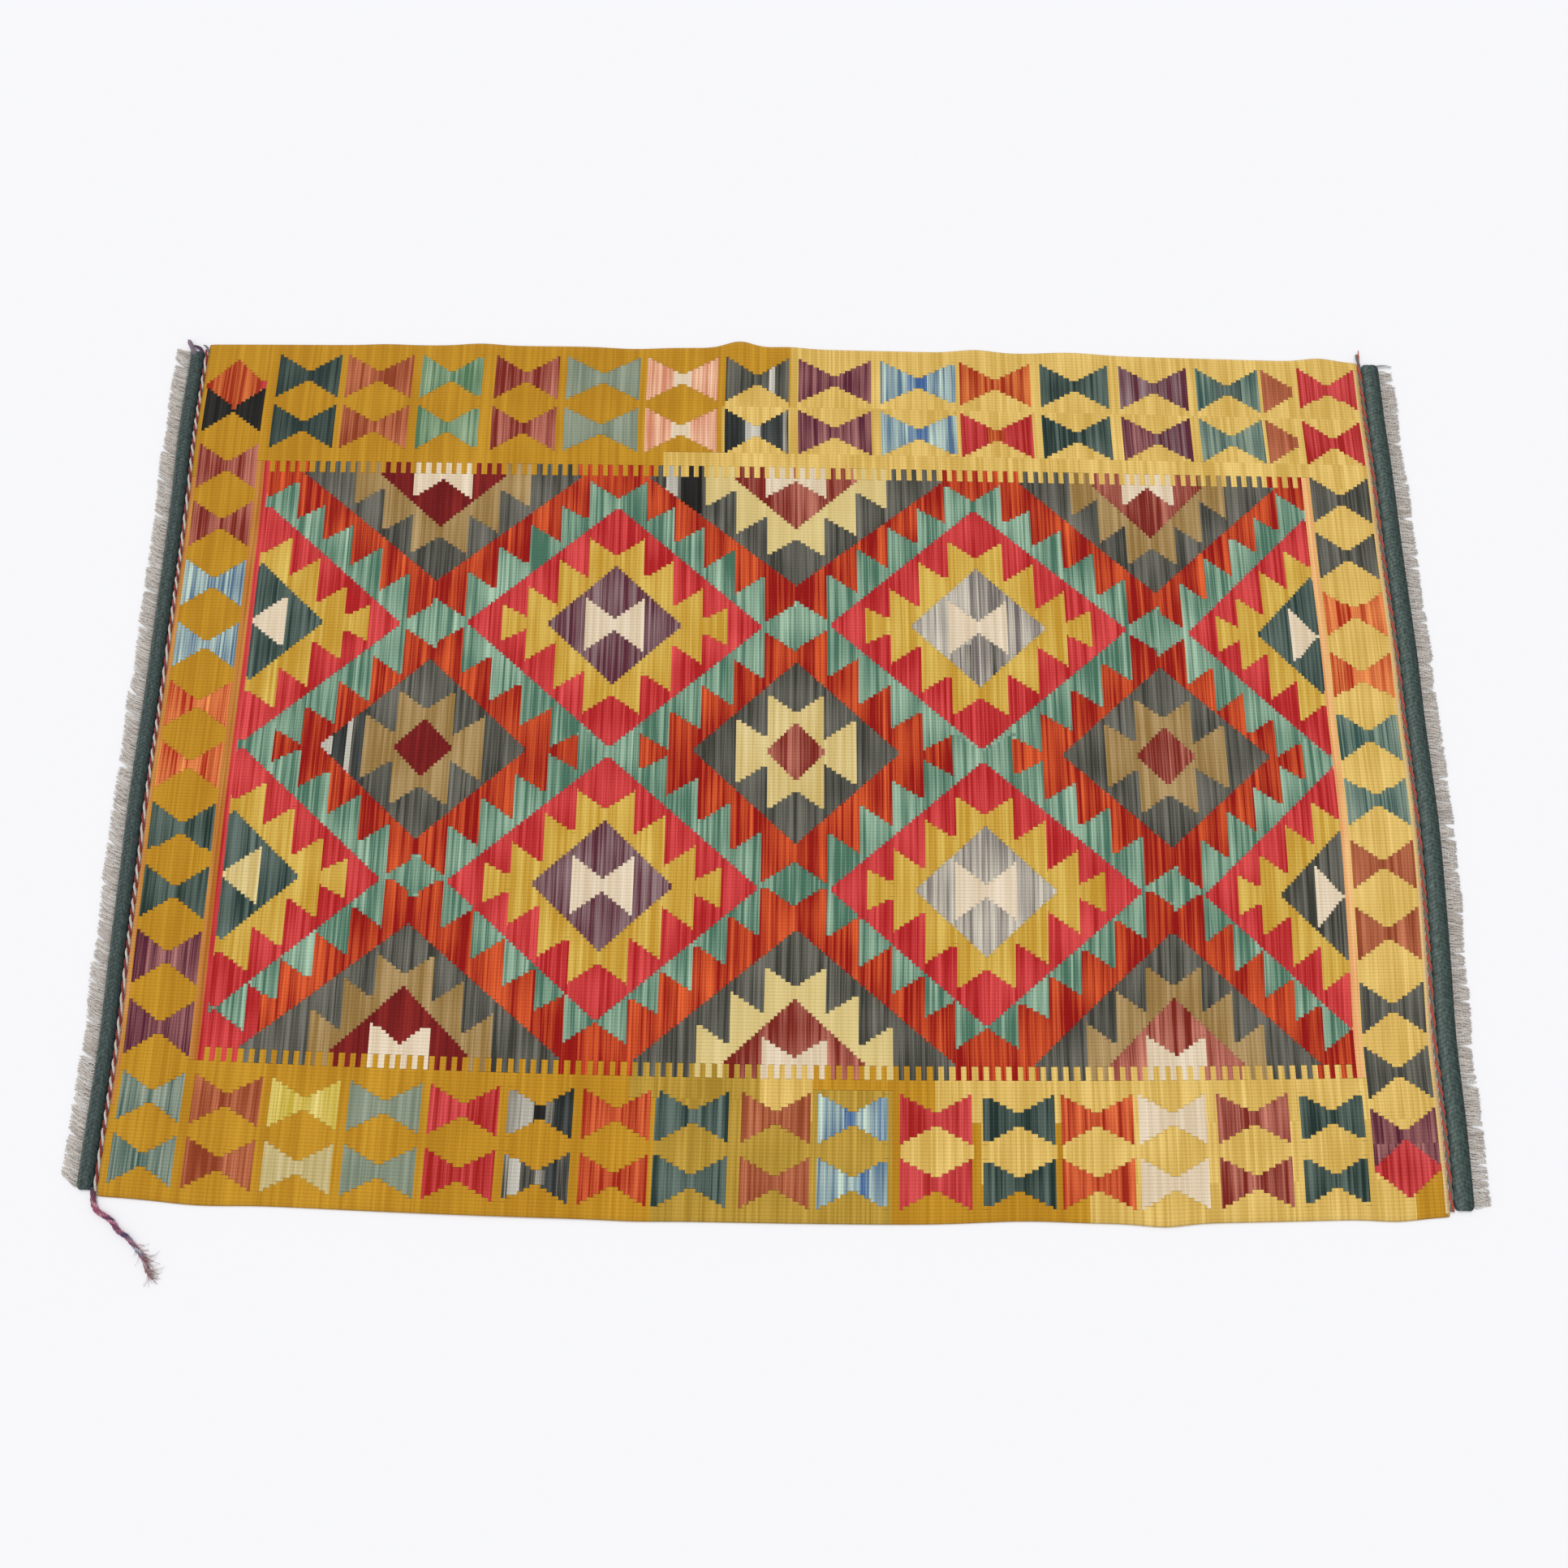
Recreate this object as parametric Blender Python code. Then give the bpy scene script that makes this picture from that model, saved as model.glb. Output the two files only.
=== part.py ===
"""Kilim rug: a weft-faced slit-tapestry cloth with ribbed end bands, twined lines and cut warp fringes.

X runs along the warps, which is the length of the rug. Y runs across it, and Z is up. The rug lies flat,
with its underside on Z = 0. The far side is +Y, the near side is -Y.
"""
import math
from collections import namedtuple

import bpy

# Driving dimensions, in metres
CLOTH_THICKNESS = 0.0030
HALF_LENGTH = 0.730          # from the middle of the cloth to its corners, along the warps
HALF_WIDTH = 0.510           # from the middle of an end to its corners
SEAM_GAP = 0.0003            # clear space between neighbouring pieces
STATION_STEP = 0.020         # distance between the points of an edge
CORNER_INSET = 0.003         # how far a corner of the cloth is cut back

FAR_SIDE = 0.5155            # the far selvedge at its corners, before its bow
FAR_SLOPE = -0.004           # how much lower the far selvedge is at the right corner than in the middle
FAR_BOW = 0.007
NEAR_SIDE = 0.517
NEAR_BOW = 0.017
LEFT_END = 0.733
LEFT_SLOPE = 0.003
LEFT_BOW = 0.0
RIGHT_END = 0.7245
RIGHT_SLOPE = 0.0
RIGHT_BOW = 0.007

TWINE_RADIUS = 0.0021        # two-ply line twined along each end of the cloth
TWINE_NEAR_TIP = -0.5115
TWINE_FAR_TIP = {"left": 0.5120, "right": 0.5240}

BAND_WIDTH = {"left": 0.0180, "right": 0.0205}
BAND_BASE = 0.0020           # height of the band's outer edges
BAND_RIDGE = 0.0042          # height of its two ridges
BAND_VALLEY = 0.0032         # height of the line between the ridges
BAND_NEAR_TIP = -0.5105
BAND_FAR_TIP = 0.5095

FRINGE_THICKNESS = 0.0022
FRINGE_ROOT = 0.0035         # width of the strip that the tufts stand on
FRINGE_LENGTH = 0.0185       # from the band to the tips, on average
FRINGE_PITCH = 0.0120        # distance between tufts
TUFT_ROOT_WIDTH = 0.0090
TUFT_TIP_WIDTH = 0.0064
FRINGE_NEAR_TIP = -0.5060
FRINGE_FAR_TIP = {"left": 0.5080, "right": 0.4980}
FRINGE_SLANT = {"left": 0.0065, "right": -0.0015}

TAIL_RADIUS = 0.0025         # plaited yarn tail at the near left corner

# Smooth humps along an edge: where each is, how far it stands out, and its half width
Hump = namedtuple("Hump", "place height spread")
FAR_HUMPS = (
    Hump(place=-0.510, height=0.0015, spread=0.030),
    Hump(place=-0.390, height=0.0030, spread=0.030),
    Hump(place=-0.195, height=-0.0025, spread=0.040),
    Hump(place=-0.060, height=0.0100, spread=0.024),
    Hump(place=0.000, height=0.0030, spread=0.030),
    Hump(place=0.240, height=0.0045, spread=0.030),
    Hump(place=0.360, height=0.0035, spread=0.045),
    Hump(place=0.675, height=0.0050, spread=0.026),
)
NEAR_HUMPS = (
    Hump(place=-0.620, height=0.0030, spread=0.050),
    Hump(place=-0.150, height=0.0010, spread=0.040),
    Hump(place=0.270, height=-0.0035, spread=0.070),
    Hump(place=0.420, height=0.0035, spread=0.030),
    Hump(place=0.670, height=0.0030, spread=0.030),
)
LEFT_HUMPS = (
    Hump(place=0.400, height=0.0025, spread=0.080),
    Hump(place=-0.070, height=0.0015, spread=0.080),
    Hump(place=-0.360, height=-0.0025, spread=0.090),
)
RIGHT_HUMPS = (
    Hump(place=0.430, height=-0.0010, spread=0.050),
    Hump(place=0.120, height=0.0010, spread=0.060),
    Hump(place=-0.330, height=-0.0025, spread=0.070),
)

# The route of the yarn tail on the floor, from the corner of the rug to its frayed tip
Waypoint = namedtuple("Waypoint", "x y")
TAIL_ROUTE = (
    Waypoint(-0.7333, -0.5145),
    Waypoint(-0.7318, -0.5235),
    Waypoint(-0.7265, -0.5320),
    Waypoint(-0.7170, -0.5372),
    Waypoint(-0.7085, -0.5430),
    Waypoint(-0.7015, -0.5515),
    Waypoint(-0.6915, -0.5575),
    Waypoint(-0.6830, -0.5655),
    Waypoint(-0.6745, -0.5745),
    Waypoint(-0.6685, -0.5835),
    Waypoint(-0.6645, -0.5935),
)
TAIL_STEPS = 2               # points read from the smooth route in each of its stretches

# Base colours are linear RGB
Finish = namedtuple("Finish", "colour roughness metallic")
FINISHES = {
    "tapestry_wool": Finish(colour=(0.52, 0.25, 0.03), roughness=0.9, metallic=0.0),
    "band_wool": Finish(colour=(0.026, 0.074, 0.080), roughness=0.9, metallic=0.0),
    "twined_wool": Finish(colour=(0.36, 0.12, 0.09), roughness=0.9, metallic=0.0),
    "warp_yarn": Finish(colour=(0.41, 0.37, 0.32), roughness=0.95, metallic=0.0),
    "tail_yarn": Finish(colour=(0.12, 0.04, 0.07), roughness=0.9, metallic=0.0),
}


def clear_scene():
    """Remove every object that the scene starts with."""
    for thing in list(bpy.data.objects):
        bpy.data.objects.remove(thing)


def humps_at(humps, place):
    """The sum of the humps: each adds height * exp(-((place - its place) / spread) squared)."""
    return sum(h.height * math.exp(-((place - h.place) / h.spread) ** 2) for h in humps)


def bowed(across, base, slope, bow, humps, reach):
    """An edge's distance from the middle: base + slope * t + bow * (1 - t squared) + its humps."""
    t = across / reach
    return base + slope * t + bow * (1.0 - t * t) + humps_at(humps, across)


def far_edge(x):
    return bowed(x, FAR_SIDE, FAR_SLOPE, FAR_BOW, FAR_HUMPS, HALF_LENGTH)


def near_edge(x):
    return -bowed(x, NEAR_SIDE, 0.0, NEAR_BOW, NEAR_HUMPS, HALF_LENGTH)


def end_line(side, y, outward=0.0):
    """The X of the line that runs a given distance outside the cloth's left or right end."""
    if side == "left":
        return -bowed(y, LEFT_END, LEFT_SLOPE, LEFT_BOW, LEFT_HUMPS, HALF_WIDTH) - outward
    return bowed(y, RIGHT_END, RIGHT_SLOPE, RIGHT_BOW, RIGHT_HUMPS, HALF_WIDTH) + outward


def stations(start, stop):
    """Evenly spaced places from start to stop, both included, about a station step apart."""
    count = max(1, round(abs(stop - start) / STATION_STEP))
    return [start + (stop - start) * i / count for i in range(count + 1)]


def wool(name):
    """The Principled material of one of the finishes."""
    finish = FINISHES[name]
    material = bpy.data.materials.new(name)
    material.use_nodes = True
    shader = material.node_tree.nodes["Principled BSDF"]
    shader.inputs["Base Color"].default_value = (*finish.colour, 1.0)
    shader.inputs["Roughness"].default_value = finish.roughness
    shader.inputs["Metallic"].default_value = finish.metallic
    material.diffuse_color = (*finish.colour, 1.0)
    return material


def poly_curve(name, points, closed):
    """A flat curve of one straight-sided spline through the points."""
    curve = bpy.data.curves.new(name, "CURVE")
    curve.dimensions = "2D"
    curve.render_resolution_u = 0
    spline = curve.splines.new("POLY")
    spline.points.add(len(points) - 1)
    for corner, (x, y) in zip(spline.points, points):
        corner.co = (x, y, 0.0, 1.0)
    spline.use_cyclic_u = closed
    return curve


def place(name, curve, height, material, collection):
    """Put a curve in the collection as the named piece, at a height above the floor."""
    piece = bpy.data.objects.new(name, curve)
    piece.location.z = height
    curve.materials.append(material)
    collection.objects.link(piece)
    return piece


def plate(name, outline, thickness, material, collection):
    """A flat piece: a filled outline, extruded half its thickness up and down."""
    curve = poly_curve(name, outline, closed=True)
    curve.fill_mode = "BOTH"
    curve.extrude = thickness / 2.0
    return place(name, curve, thickness / 2.0, material, collection)


def cloth_outline():
    """The woven cloth's outline, anticlockwise from the near left corner, with cut-back corners."""
    left_x = end_line("left", -HALF_WIDTH)
    right_x = end_line("right", -HALF_WIDTH)
    near = [(x, near_edge(x)) for x in stations(left_x + CORNER_INSET, right_x - CORNER_INSET)]
    low = near_edge(right_x) + CORNER_INSET
    high = far_edge(right_x) - CORNER_INSET
    right = [(end_line("right", y), y) for y in stations(low, high)]
    far_left_x = end_line("left", HALF_WIDTH)
    far = [(x, far_edge(x)) for x in stations(right_x - CORNER_INSET, far_left_x + CORNER_INSET)]
    high = far_edge(far_left_x) - CORNER_INSET
    low = near_edge(left_x) + CORNER_INSET
    left = [(end_line("left", y), y) for y in stations(high, low)]
    return near + right + far + left


def twined_line(side, material, collection):
    """The two-ply yarn twined across the warps, as a tube along the cloth's end."""
    outward = SEAM_GAP + TWINE_RADIUS
    heights = stations(TWINE_NEAR_TIP, TWINE_FAR_TIP[side])
    name = f"twined_line_{side}"
    curve = poly_curve(name, [(end_line(side, y, outward), y) for y in heights], closed=False)
    curve.bevel_depth = TWINE_RADIUS
    curve.bevel_resolution = 2
    curve.use_fill_caps = True
    return place(name, curve, TWINE_RADIUS, material, collection)


def band_profile(width):
    """The band's section: a flat underside and two ridges with a shallow line between them."""
    half = width / 2.0
    crown = half * 0.5
    shoulder = half * 0.82
    return [
        (-half, 0.0),
        (-half, BAND_BASE),
        (-shoulder, BAND_RIDGE * 0.9),
        (-crown, BAND_RIDGE),
        (-half * 0.16, BAND_RIDGE * 0.88),
        (0.0, BAND_VALLEY),
        (half * 0.16, BAND_RIDGE * 0.88),
        (crown, BAND_RIDGE),
        (shoulder, BAND_RIDGE * 0.9),
        (half, BAND_BASE),
        (half, 0.0),
    ]


def guide(name, points, collection):
    """A closed section curve that a band is swept from, hidden from renders."""
    section = bpy.data.objects.new(name, poly_curve(name, points, closed=True))
    section.hide_render = True
    section.display_type = "WIRE"
    collection.objects.link(section)
    return section


def end_band(side, material, collection, guides):
    """The ribbed end band: its two-ridged section swept along the end of the cloth."""
    width = BAND_WIDTH[side]
    outward = 2.0 * SEAM_GAP + 2.0 * TWINE_RADIUS + width / 2.0
    name = f"end_band_{side}"
    line = [(end_line(side, y, outward), y) for y in stations(BAND_NEAR_TIP, BAND_FAR_TIP)]
    curve = poly_curve(name, line, closed=False)
    curve.bevel_mode = "OBJECT"
    curve.bevel_object = guide(f"section_{side}", band_profile(width), guides)
    curve.use_fill_caps = True
    return place(name, curve, 0.0, material, collection)


def tuft_length(index):
    """How far tuft number index reaches from the band: the mean length with two slow waves on it."""
    return FRINGE_LENGTH * (1.0 + 0.10 * math.sin(1.7 * index) + 0.07 * math.sin(0.6 * index + 1.0))


def fringe(side, material, collection):
    """One comb along the band: a root strip, and a slanting tuft of warp ends at every pitch."""
    outward = 3.0 * SEAM_GAP + 2.0 * TWINE_RADIUS + BAND_WIDTH[side]
    near_tip = FRINGE_NEAR_TIP
    far_tip = FRINGE_FAR_TIP[side]
    count = round((far_tip - near_tip) / FRINGE_PITCH)
    pitch = (far_tip - near_tip) / count
    inner = [(end_line(side, y, outward), y) for y in stations(far_tip, near_tip)]
    outer = []
    for index in range(count):
        middle = near_tip + (index + 0.5) * pitch
        length = tuft_length(index)
        tip = middle + FRINGE_SLANT[side]
        corners = (
            (middle - TUFT_ROOT_WIDTH / 2.0, FRINGE_ROOT),
            (tip - TUFT_TIP_WIDTH / 2.0, length),
            (tip + TUFT_TIP_WIDTH / 2.0, length * 0.97),
            (middle + TUFT_ROOT_WIDTH / 2.0, FRINGE_ROOT),
        )
        outer += [(end_line(side, middle, outward + reach), y) for y, reach in corners]
    start = (end_line(side, near_tip, outward + FRINGE_ROOT), near_tip)
    stop = (end_line(side, far_tip, outward + FRINGE_ROOT), far_tip)
    outline = [start] + outer + [stop] + inner
    return plate(f"fringe_{side}", outline, FRINGE_THICKNESS, material, collection)


def smooth_route(route, steps):
    """Points along the Catmull-Rom curve through the route, with its first and last points doubled."""
    padded = [route[0], *route, route[-1]]
    points = []
    for before, start, stop, after in zip(padded, padded[1:], padded[2:], padded[3:]):
        for step in range(steps):
            t = step / steps
            weights = (
                -0.5 * t + t * t - 0.5 * t ** 3,
                1.0 - 2.5 * t * t + 1.5 * t ** 3,
                0.5 * t + 2.0 * t * t - 1.5 * t ** 3,
                -0.5 * t * t + 0.5 * t ** 3,
            )
            nodes = (before, start, stop, after)
            x = sum(w * p.x for w, p in zip(weights, nodes))
            y = sum(w * p.y for w, p in zip(weights, nodes))
            points.append((x, y))
    points.append((route[-1].x, route[-1].y))
    return points


def corner_tail(material, collection):
    """The plaited ends of the twining yarns, which lie on the floor from the near left corner."""
    curve = poly_curve("corner_tail", smooth_route(TAIL_ROUTE, TAIL_STEPS), closed=False)
    curve.bevel_depth = TAIL_RADIUS
    curve.bevel_resolution = 2
    curve.use_fill_caps = True
    return place("corner_tail", curve, TAIL_RADIUS, material, collection)


def main():
    clear_scene()
    rug = bpy.data.collections.new("kilim_rug")
    guides = bpy.data.collections.new("guides")
    bpy.context.scene.collection.children.link(rug)
    bpy.context.scene.collection.children.link(guides)
    wools = {name: wool(name) for name in FINISHES}
    plate("kilim_body", cloth_outline(), CLOTH_THICKNESS, wools["tapestry_wool"], rug)
    for side in ("left", "right"):
        twined_line(side, wools["twined_wool"], rug)
        end_band(side, wools["band_wool"], rug, guides)
        fringe(side, wools["warp_yarn"], rug)
    corner_tail(wools["tail_yarn"], rug)


main()
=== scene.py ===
"""Looks of the kilim rug: its woven pattern, plaited ends, cut fringes and loose yarn tail.

X runs along the warps, which is the length of the rug, Y across it, and Z is up, as in the part.
"""
import math
from collections import namedtuple

import bpy
import numpy as np
from mathutils import Matrix


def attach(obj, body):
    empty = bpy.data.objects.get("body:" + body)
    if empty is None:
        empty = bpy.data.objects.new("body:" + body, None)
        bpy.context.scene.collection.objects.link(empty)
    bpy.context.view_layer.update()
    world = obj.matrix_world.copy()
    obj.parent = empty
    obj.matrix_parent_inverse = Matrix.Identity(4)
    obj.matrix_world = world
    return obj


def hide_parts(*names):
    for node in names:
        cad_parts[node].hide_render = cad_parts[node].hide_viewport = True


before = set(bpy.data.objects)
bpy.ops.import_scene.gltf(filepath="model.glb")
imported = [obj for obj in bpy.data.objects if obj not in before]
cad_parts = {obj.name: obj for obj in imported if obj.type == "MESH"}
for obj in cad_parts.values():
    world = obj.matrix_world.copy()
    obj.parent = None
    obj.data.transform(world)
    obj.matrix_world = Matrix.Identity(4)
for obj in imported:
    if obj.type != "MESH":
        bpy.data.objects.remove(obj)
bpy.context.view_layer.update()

# CHART
# The loom chart. Its lengths are in millimetres on the loom, before the rug was pulled into its bowed
# shape: u runs along the warps from the left end to the right, v across them from the near side to the far.
CLOTH_LEFT, CLOTH_RIGHT = -733.0, 724.5
CLOTH_NEAR, CLOTH_FAR = -517.0, 515.5
ROWS = 280                   # one row for each warp, which is one rib of the cloth
CELLS = 244                  # faces along a row
FINE = 6                     # places in a cell at which the wool can change
WARP_PITCH = (CLOTH_FAR - CLOTH_NEAR) / ROWS
PLACE_PITCH = (CLOTH_RIGHT - CLOTH_LEFT) / (CELLS * FINE)

# Each wool has a deep and a light dye lot, in 0 to 255 display values, and share is how much is light
Wool = namedtuple("Wool", "deep light share", defaults=(0.5,))
WOOLS = {
    "ochre": Wool((184, 130, 26), (203, 150, 40)),
    "olive_gold": Wool((168, 132, 42), (198, 160, 66)),
    "pale_gold": Wool((212, 172, 82), (238, 202, 116)),
    "band_red": Wool((150, 14, 12), (222, 92, 46), share=0.38),
    "coral": Wool((176, 27, 30), (224, 77, 77)),
    "star_yellow": Wool((198, 150, 46), (224, 188, 90)),
    "saw_green": Wool((72, 114, 94), (158, 189, 164), share=0.44),
    "charcoal": Wool((58, 58, 52), (116, 114, 104)),
    "khaki": Wool((148, 116, 62), (184, 154, 106)),
    "cream_gold": Wool((216, 192, 124), (230, 208, 144)),
    "cream": Wool((222, 200, 168), (240, 222, 196)),
    "maroon": Wool((108, 18, 20), (140, 38, 34), share=0.4),
    "brick": Wool((124, 34, 24), (196, 120, 102), share=0.42),
    "purple": Wool((92, 40, 54), (156, 130, 132), share=0.42),
    "lavender": Wool((112, 104, 102), (204, 196, 181), share=0.62),
    "deep_teal": Wool((36, 56, 52), (98, 114, 106)),
    "pale_yellow": Wool((208, 180, 108), (232, 210, 150)),
    "light_blue": Wool((84, 114, 142), (188, 208, 198)),
    "blue": Wool((62, 98, 152), (144, 170, 182)),
    "dark_green": Wool((32, 50, 46), (94, 110, 102)),
    "teal": Wool((52, 84, 80), (138, 156, 140)),
    "teal_grey": Wool((60, 92, 84), (146, 158, 142)),
    "dark_teal": Wool((38, 54, 52), (78, 92, 84)),
    "sea_green": Wool((82, 120, 88), (160, 184, 150)),
    "grey_green": Wool((120, 132, 112), (150, 160, 140)),
    "black": Wool((22, 22, 20), (44, 43, 40)),
    "ink": Wool((34, 38, 37), (74, 79, 77)),
    "grey": Wool((56, 56, 52), (172, 166, 154)),
    "pale_grey": Wool((180, 176, 164), (214, 208, 196)),
    "terracotta": Wool((142, 60, 30), (196, 114, 78)),
    "rust": Wool((144, 66, 36), (194, 114, 80)),
    "orange": Wool((162, 42, 14), (222, 120, 62), share=0.38),
    "orange_red": Wool((160, 34, 14), (228, 108, 62)),
    "flame": Wool((176, 36, 12), (242, 144, 82), share=0.55),
    "red": Wool((166, 28, 24), (218, 78, 80)),
    "pink": Wool((214, 134, 102), (248, 202, 168)),
    "plum": Wool((86, 30, 50), (166, 110, 108), share=0.40),
    "yellow_green": Wool((200, 174, 56), (234, 212, 124)),
    "pale_khaki": Wool((190, 172, 110), (214, 196, 146)),
    "stripe_orange": Wool((178, 104, 36), (206, 140, 68)),
    "stripe_peach": Wool((230, 160, 100), (248, 194, 130)),
    "edge_orange": Wool((196, 128, 56), (222, 158, 88)),
    "edge_cream": Wool((218, 178, 112), (240, 208, 156)),
}
WOOL_NUMBER = {name: number for number, name in enumerate(WOOLS)}

FIELD_LEFT, FIELD_RIGHT = -643.0, 637.0
FIELD_NEAR, FIELD_FAR = -354.0, 338.5
LEFT_STRIPE = 9.0            # orange stripe between the left border and the field
LEFT_LINE = 5.5              # thin coral line at the field's left edge
RIGHT_LINE = 2.0             # thin dark line at the field's right edge
RIGHT_STRIPE = 7.0           # peach stripe outside that line
EDGE_LINE = 5.0              # paler line at the cloth's left and right ends, and from where to where
LEFT_LINE_SPAN, RIGHT_LINE_SPAN = (-420, 330), (-512, 505)
COMB_FAR, COMB_NEAR = 354.0, -371.0
COMB_PITCH, COMB_TOOTH = 12.5, 6.2

# A saw edge: from one distance to another from a motif's middle, how far out its edge starts and ends
Tooth = namedtuple("Tooth", "start stop low high")
RING_TEETH = (
    Tooth(0, 33, 87, 109),
    Tooth(33, 69, 58, 81),
    Tooth(69, 105, 23, 47),
    Tooth(105, 135, 8, 23),
)
GREEN_TEETH = (
    Tooth(0, 35, 162, 184),
    Tooth(35, 69, 133, 151),
    Tooth(69, 106, 104, 126),
    Tooth(106, 144, 73, 98),
    Tooth(144, 180, 41, 65),
    Tooth(180, 219, 6, 31),
)
EDGE_TEETH = RING_TEETH[:3]
STAR_TEETH = (
    Tooth(0, 33, 46, 69),
    Tooth(33, 70, 15, 39),
)
NEAR_SIDE_LOSS = 11.0        # how much flatter the green saw is on its near side in the near row

# A medallion: its middle, the wools of its inner diamond and heart, the half size of its outer diamond,
# how narrow its teeth are beside the usual ones, half the height of its heart's waist (0 where the
# heart is cut in two by the field's edge), and the wools of its outer diamond and its ring
Medallion = namedtuple(
    "Medallion", "u v inner heart half_u half_v narrow waist outer ring",
    defaults=(178, 150, 1.0, 8, "coral", "star_yellow"),
)
RED_MEDALLIONS = (
    Medallion(-633, 144, "deep_teal", "cream", half_u=174, waist=0),
    Medallion(-631, -163, "deep_teal", "pale_yellow", half_u=174, waist=0),
    Medallion(-204, 146, "purple", "cream"),
    Medallion(-205, -163.5, "purple", "cream"),
    Medallion(231, 150, "lavender", "cream"),
    Medallion(231, -162, "lavender", "cream"),
    Medallion(634, 146, "deep_teal", "cream", half_u=154, narrow=0.88, waist=2.5),
    Medallion(635, -168, "charcoal", "cream", half_u=157, narrow=0.88, waist=2.5),
)
EDGE_MEDALLIONS = (
    Medallion(-421, 341, "maroon", "cream", 178, 144, 1.03, 9, "charcoal", "khaki"),
    Medallion(14, 345.5, "brick", "cream", 192, 147, 1.06, 11, "charcoal", "cream_gold"),
    Medallion(446, 342.5, "brick", "cream", 162, 145, 0.90, 9, "charcoal", "khaki"),
    Medallion(-421, -354, "maroon", "cream", 180, 143, 0.97, 10, "charcoal", "khaki"),
    Medallion(17, -358, "brick", "cream", 185, 150, 1.04, 12, "charcoal", "cream_gold"),
    Medallion(440, -356, "brick", "cream", 160, 147, 0.94, 12, "charcoal", "khaki"),
)
INNER_HALF_U, INNER_HALF_V = 81.0, 74.0
HEART_HALF_U, HEART_HALF_V = 35.0, 34.0
HEART_LEAD, HEART_RIM = 2.5, 3.0

# A charcoal diamond: its middle, and the wools of the star and the seed in it
SmallDiamond = namedtuple("SmallDiamond", "u v ring inner")
SMALL_DIAMONDS = (
    SmallDiamond(-421, -7, "khaki", "maroon"),
    SmallDiamond(14, -4, "pale_yellow", "brick"),
    SmallDiamond(444, -5, "khaki", "brick"),
)
SMALL_HALF_U, SMALL_HALF_V = 121.0, 108.0
SEED_HALF_U, SEED_HALF_V = 35.0, 35.0

# The border's hourglasses, in columns along the far and near sides: outer is the wool of the row beside
# the selvedge, and inner that of the other row where it differs
Column = namedtuple("Column", "left right outer inner", defaults=(None,))
FAR_COLUMNS = (
    Column(-640, -562, "dark_teal"),
    Column(-554, -470, "terracotta"),
    Column(-459, -382, "sea_green"),
    Column(-366, -285, "brick"),
    Column(-275, -182, "grey_green"),
    Column(-173, -84, "pink"),
    Column(-74, 6, "grey"),
    Column(18, 109, "plum"),
    Column(121, 216, "light_blue"),
    Column(221, 310, "orange", "red"),
    Column(322, 408, "dark_green"),
    Column(422, 507, "purple"),
    Column(518, 597, "teal"),
)
NEAR_COLUMNS = (
    Column(-724, -654, "teal_grey"),
    Column(-643, -568, "terracotta"),
    Column(-558, -482, "pale_khaki", "yellow_green"),
    Column(-471, -392, "grey_green"),
    Column(-383, -306, "red"),
    Column(-296, -224, "grey"),
    Column(-214, -140, "orange_red"),
    Column(-131, -54, "deep_teal"),
    Column(-40, 36, "rust"),
    Column(44, 120, "light_blue"),
    Column(133, 212, "red"),
    Column(224, 302, "dark_green"),
    Column(309, 388, "orange_red"),
    Column(394, 468, "cream"),
    Column(480, 558, "brick"),
    Column(570, 640, "dark_green"),
)
# The hourglasses of the single column along each end, in pairs of one wool: the middle of each
Glass = namedtuple("Glass", "wool middles")
LEFT_GLASSES = (
    Glass("brick", (345, 268)),
    Glass("light_blue", (191, 112)),
    Glass("flame", (38, -36)),
    Glass("dark_green", (-110, -185)),
    Glass("plum", (-258, -336)),
)
RIGHT_GLASSES = (
    Glass("red", (476, 401)),
    Glass("charcoal", (324, 250)),
    Glass("flame", (175, 96)),
    Glass("teal", (21, -57)),
    Glass("rust", (-132, -211)),
    Glass("charcoal", (-294, -364)),
    Glass("plum", (-431,)),
)
# Each row of hourglasses along a side: its middle, and half its height
GlassRow = namedtuple("GlassRow", "v half")
FAR_OUTER, FAR_INNER = GlassRow(472.0, 30.0), GlassRow(400.0, 29.0)
NEAR_OUTER, NEAR_INNER = GlassRow(-476.0, 25.5), GlassRow(-410.0, 27.0)
# Each column along an end: where its hourglasses start and stop, and half their height
GlassColumn = namedtuple("GlassColumn", "left right half")
LEFT_COLUMN, RIGHT_COLUMN = GlassColumn(-727, -653, 29.0), GlassColumn(647, 718.6, 28.0)
# The far side's last column, which stops short at the right border
CUT_LEFT, CUT_RIGHT, CUT_AT = 601, 677, 639
GLASS_WAIST = 7.0            # half the height of an hourglass's waist
GLASS_LEAD = 6.0             # half the width of its first stair step
GLASS_RIM = 4.0              # how much narrower its last step is than its ends

# Where the border's ground changes to another dye lot of its gold, each over those before it
Ground = namedtuple("Ground", "left right near far wool")
GROUNDS = (
    Ground(-740, 740, -520, 520, "ochre"),
    Ground(637, 740, -520, 520, "pale_gold"),
    Ground(8, 740, 436, 520, "pale_gold"),
    Ground(-78, 740, 368, 436, "pale_gold"),
    Ground(-74, 6, 436, 472, "pale_gold"),
    Ground(-150, 740, 338, 372, "pale_gold"),
    Ground(-135, 125, -520, -380, "olive_gold"),
    Ground(-165, -20, -390, -354, "olive_gold"),
    Ground(-20, 38, -412, -354, "pale_gold"),
    Ground(172, 740, -412, -354, "pale_gold"),
    Ground(134, 214, -476, -412, "pale_gold"),
    Ground(222, 304, -476, -412, "pale_gold"),
    Ground(310, 740, -476, -412, "pale_gold"),
    Ground(338, 740, -520, -476, "pale_gold"),
    Ground(689, 722, -520, -462, "ochre"),
)

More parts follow.
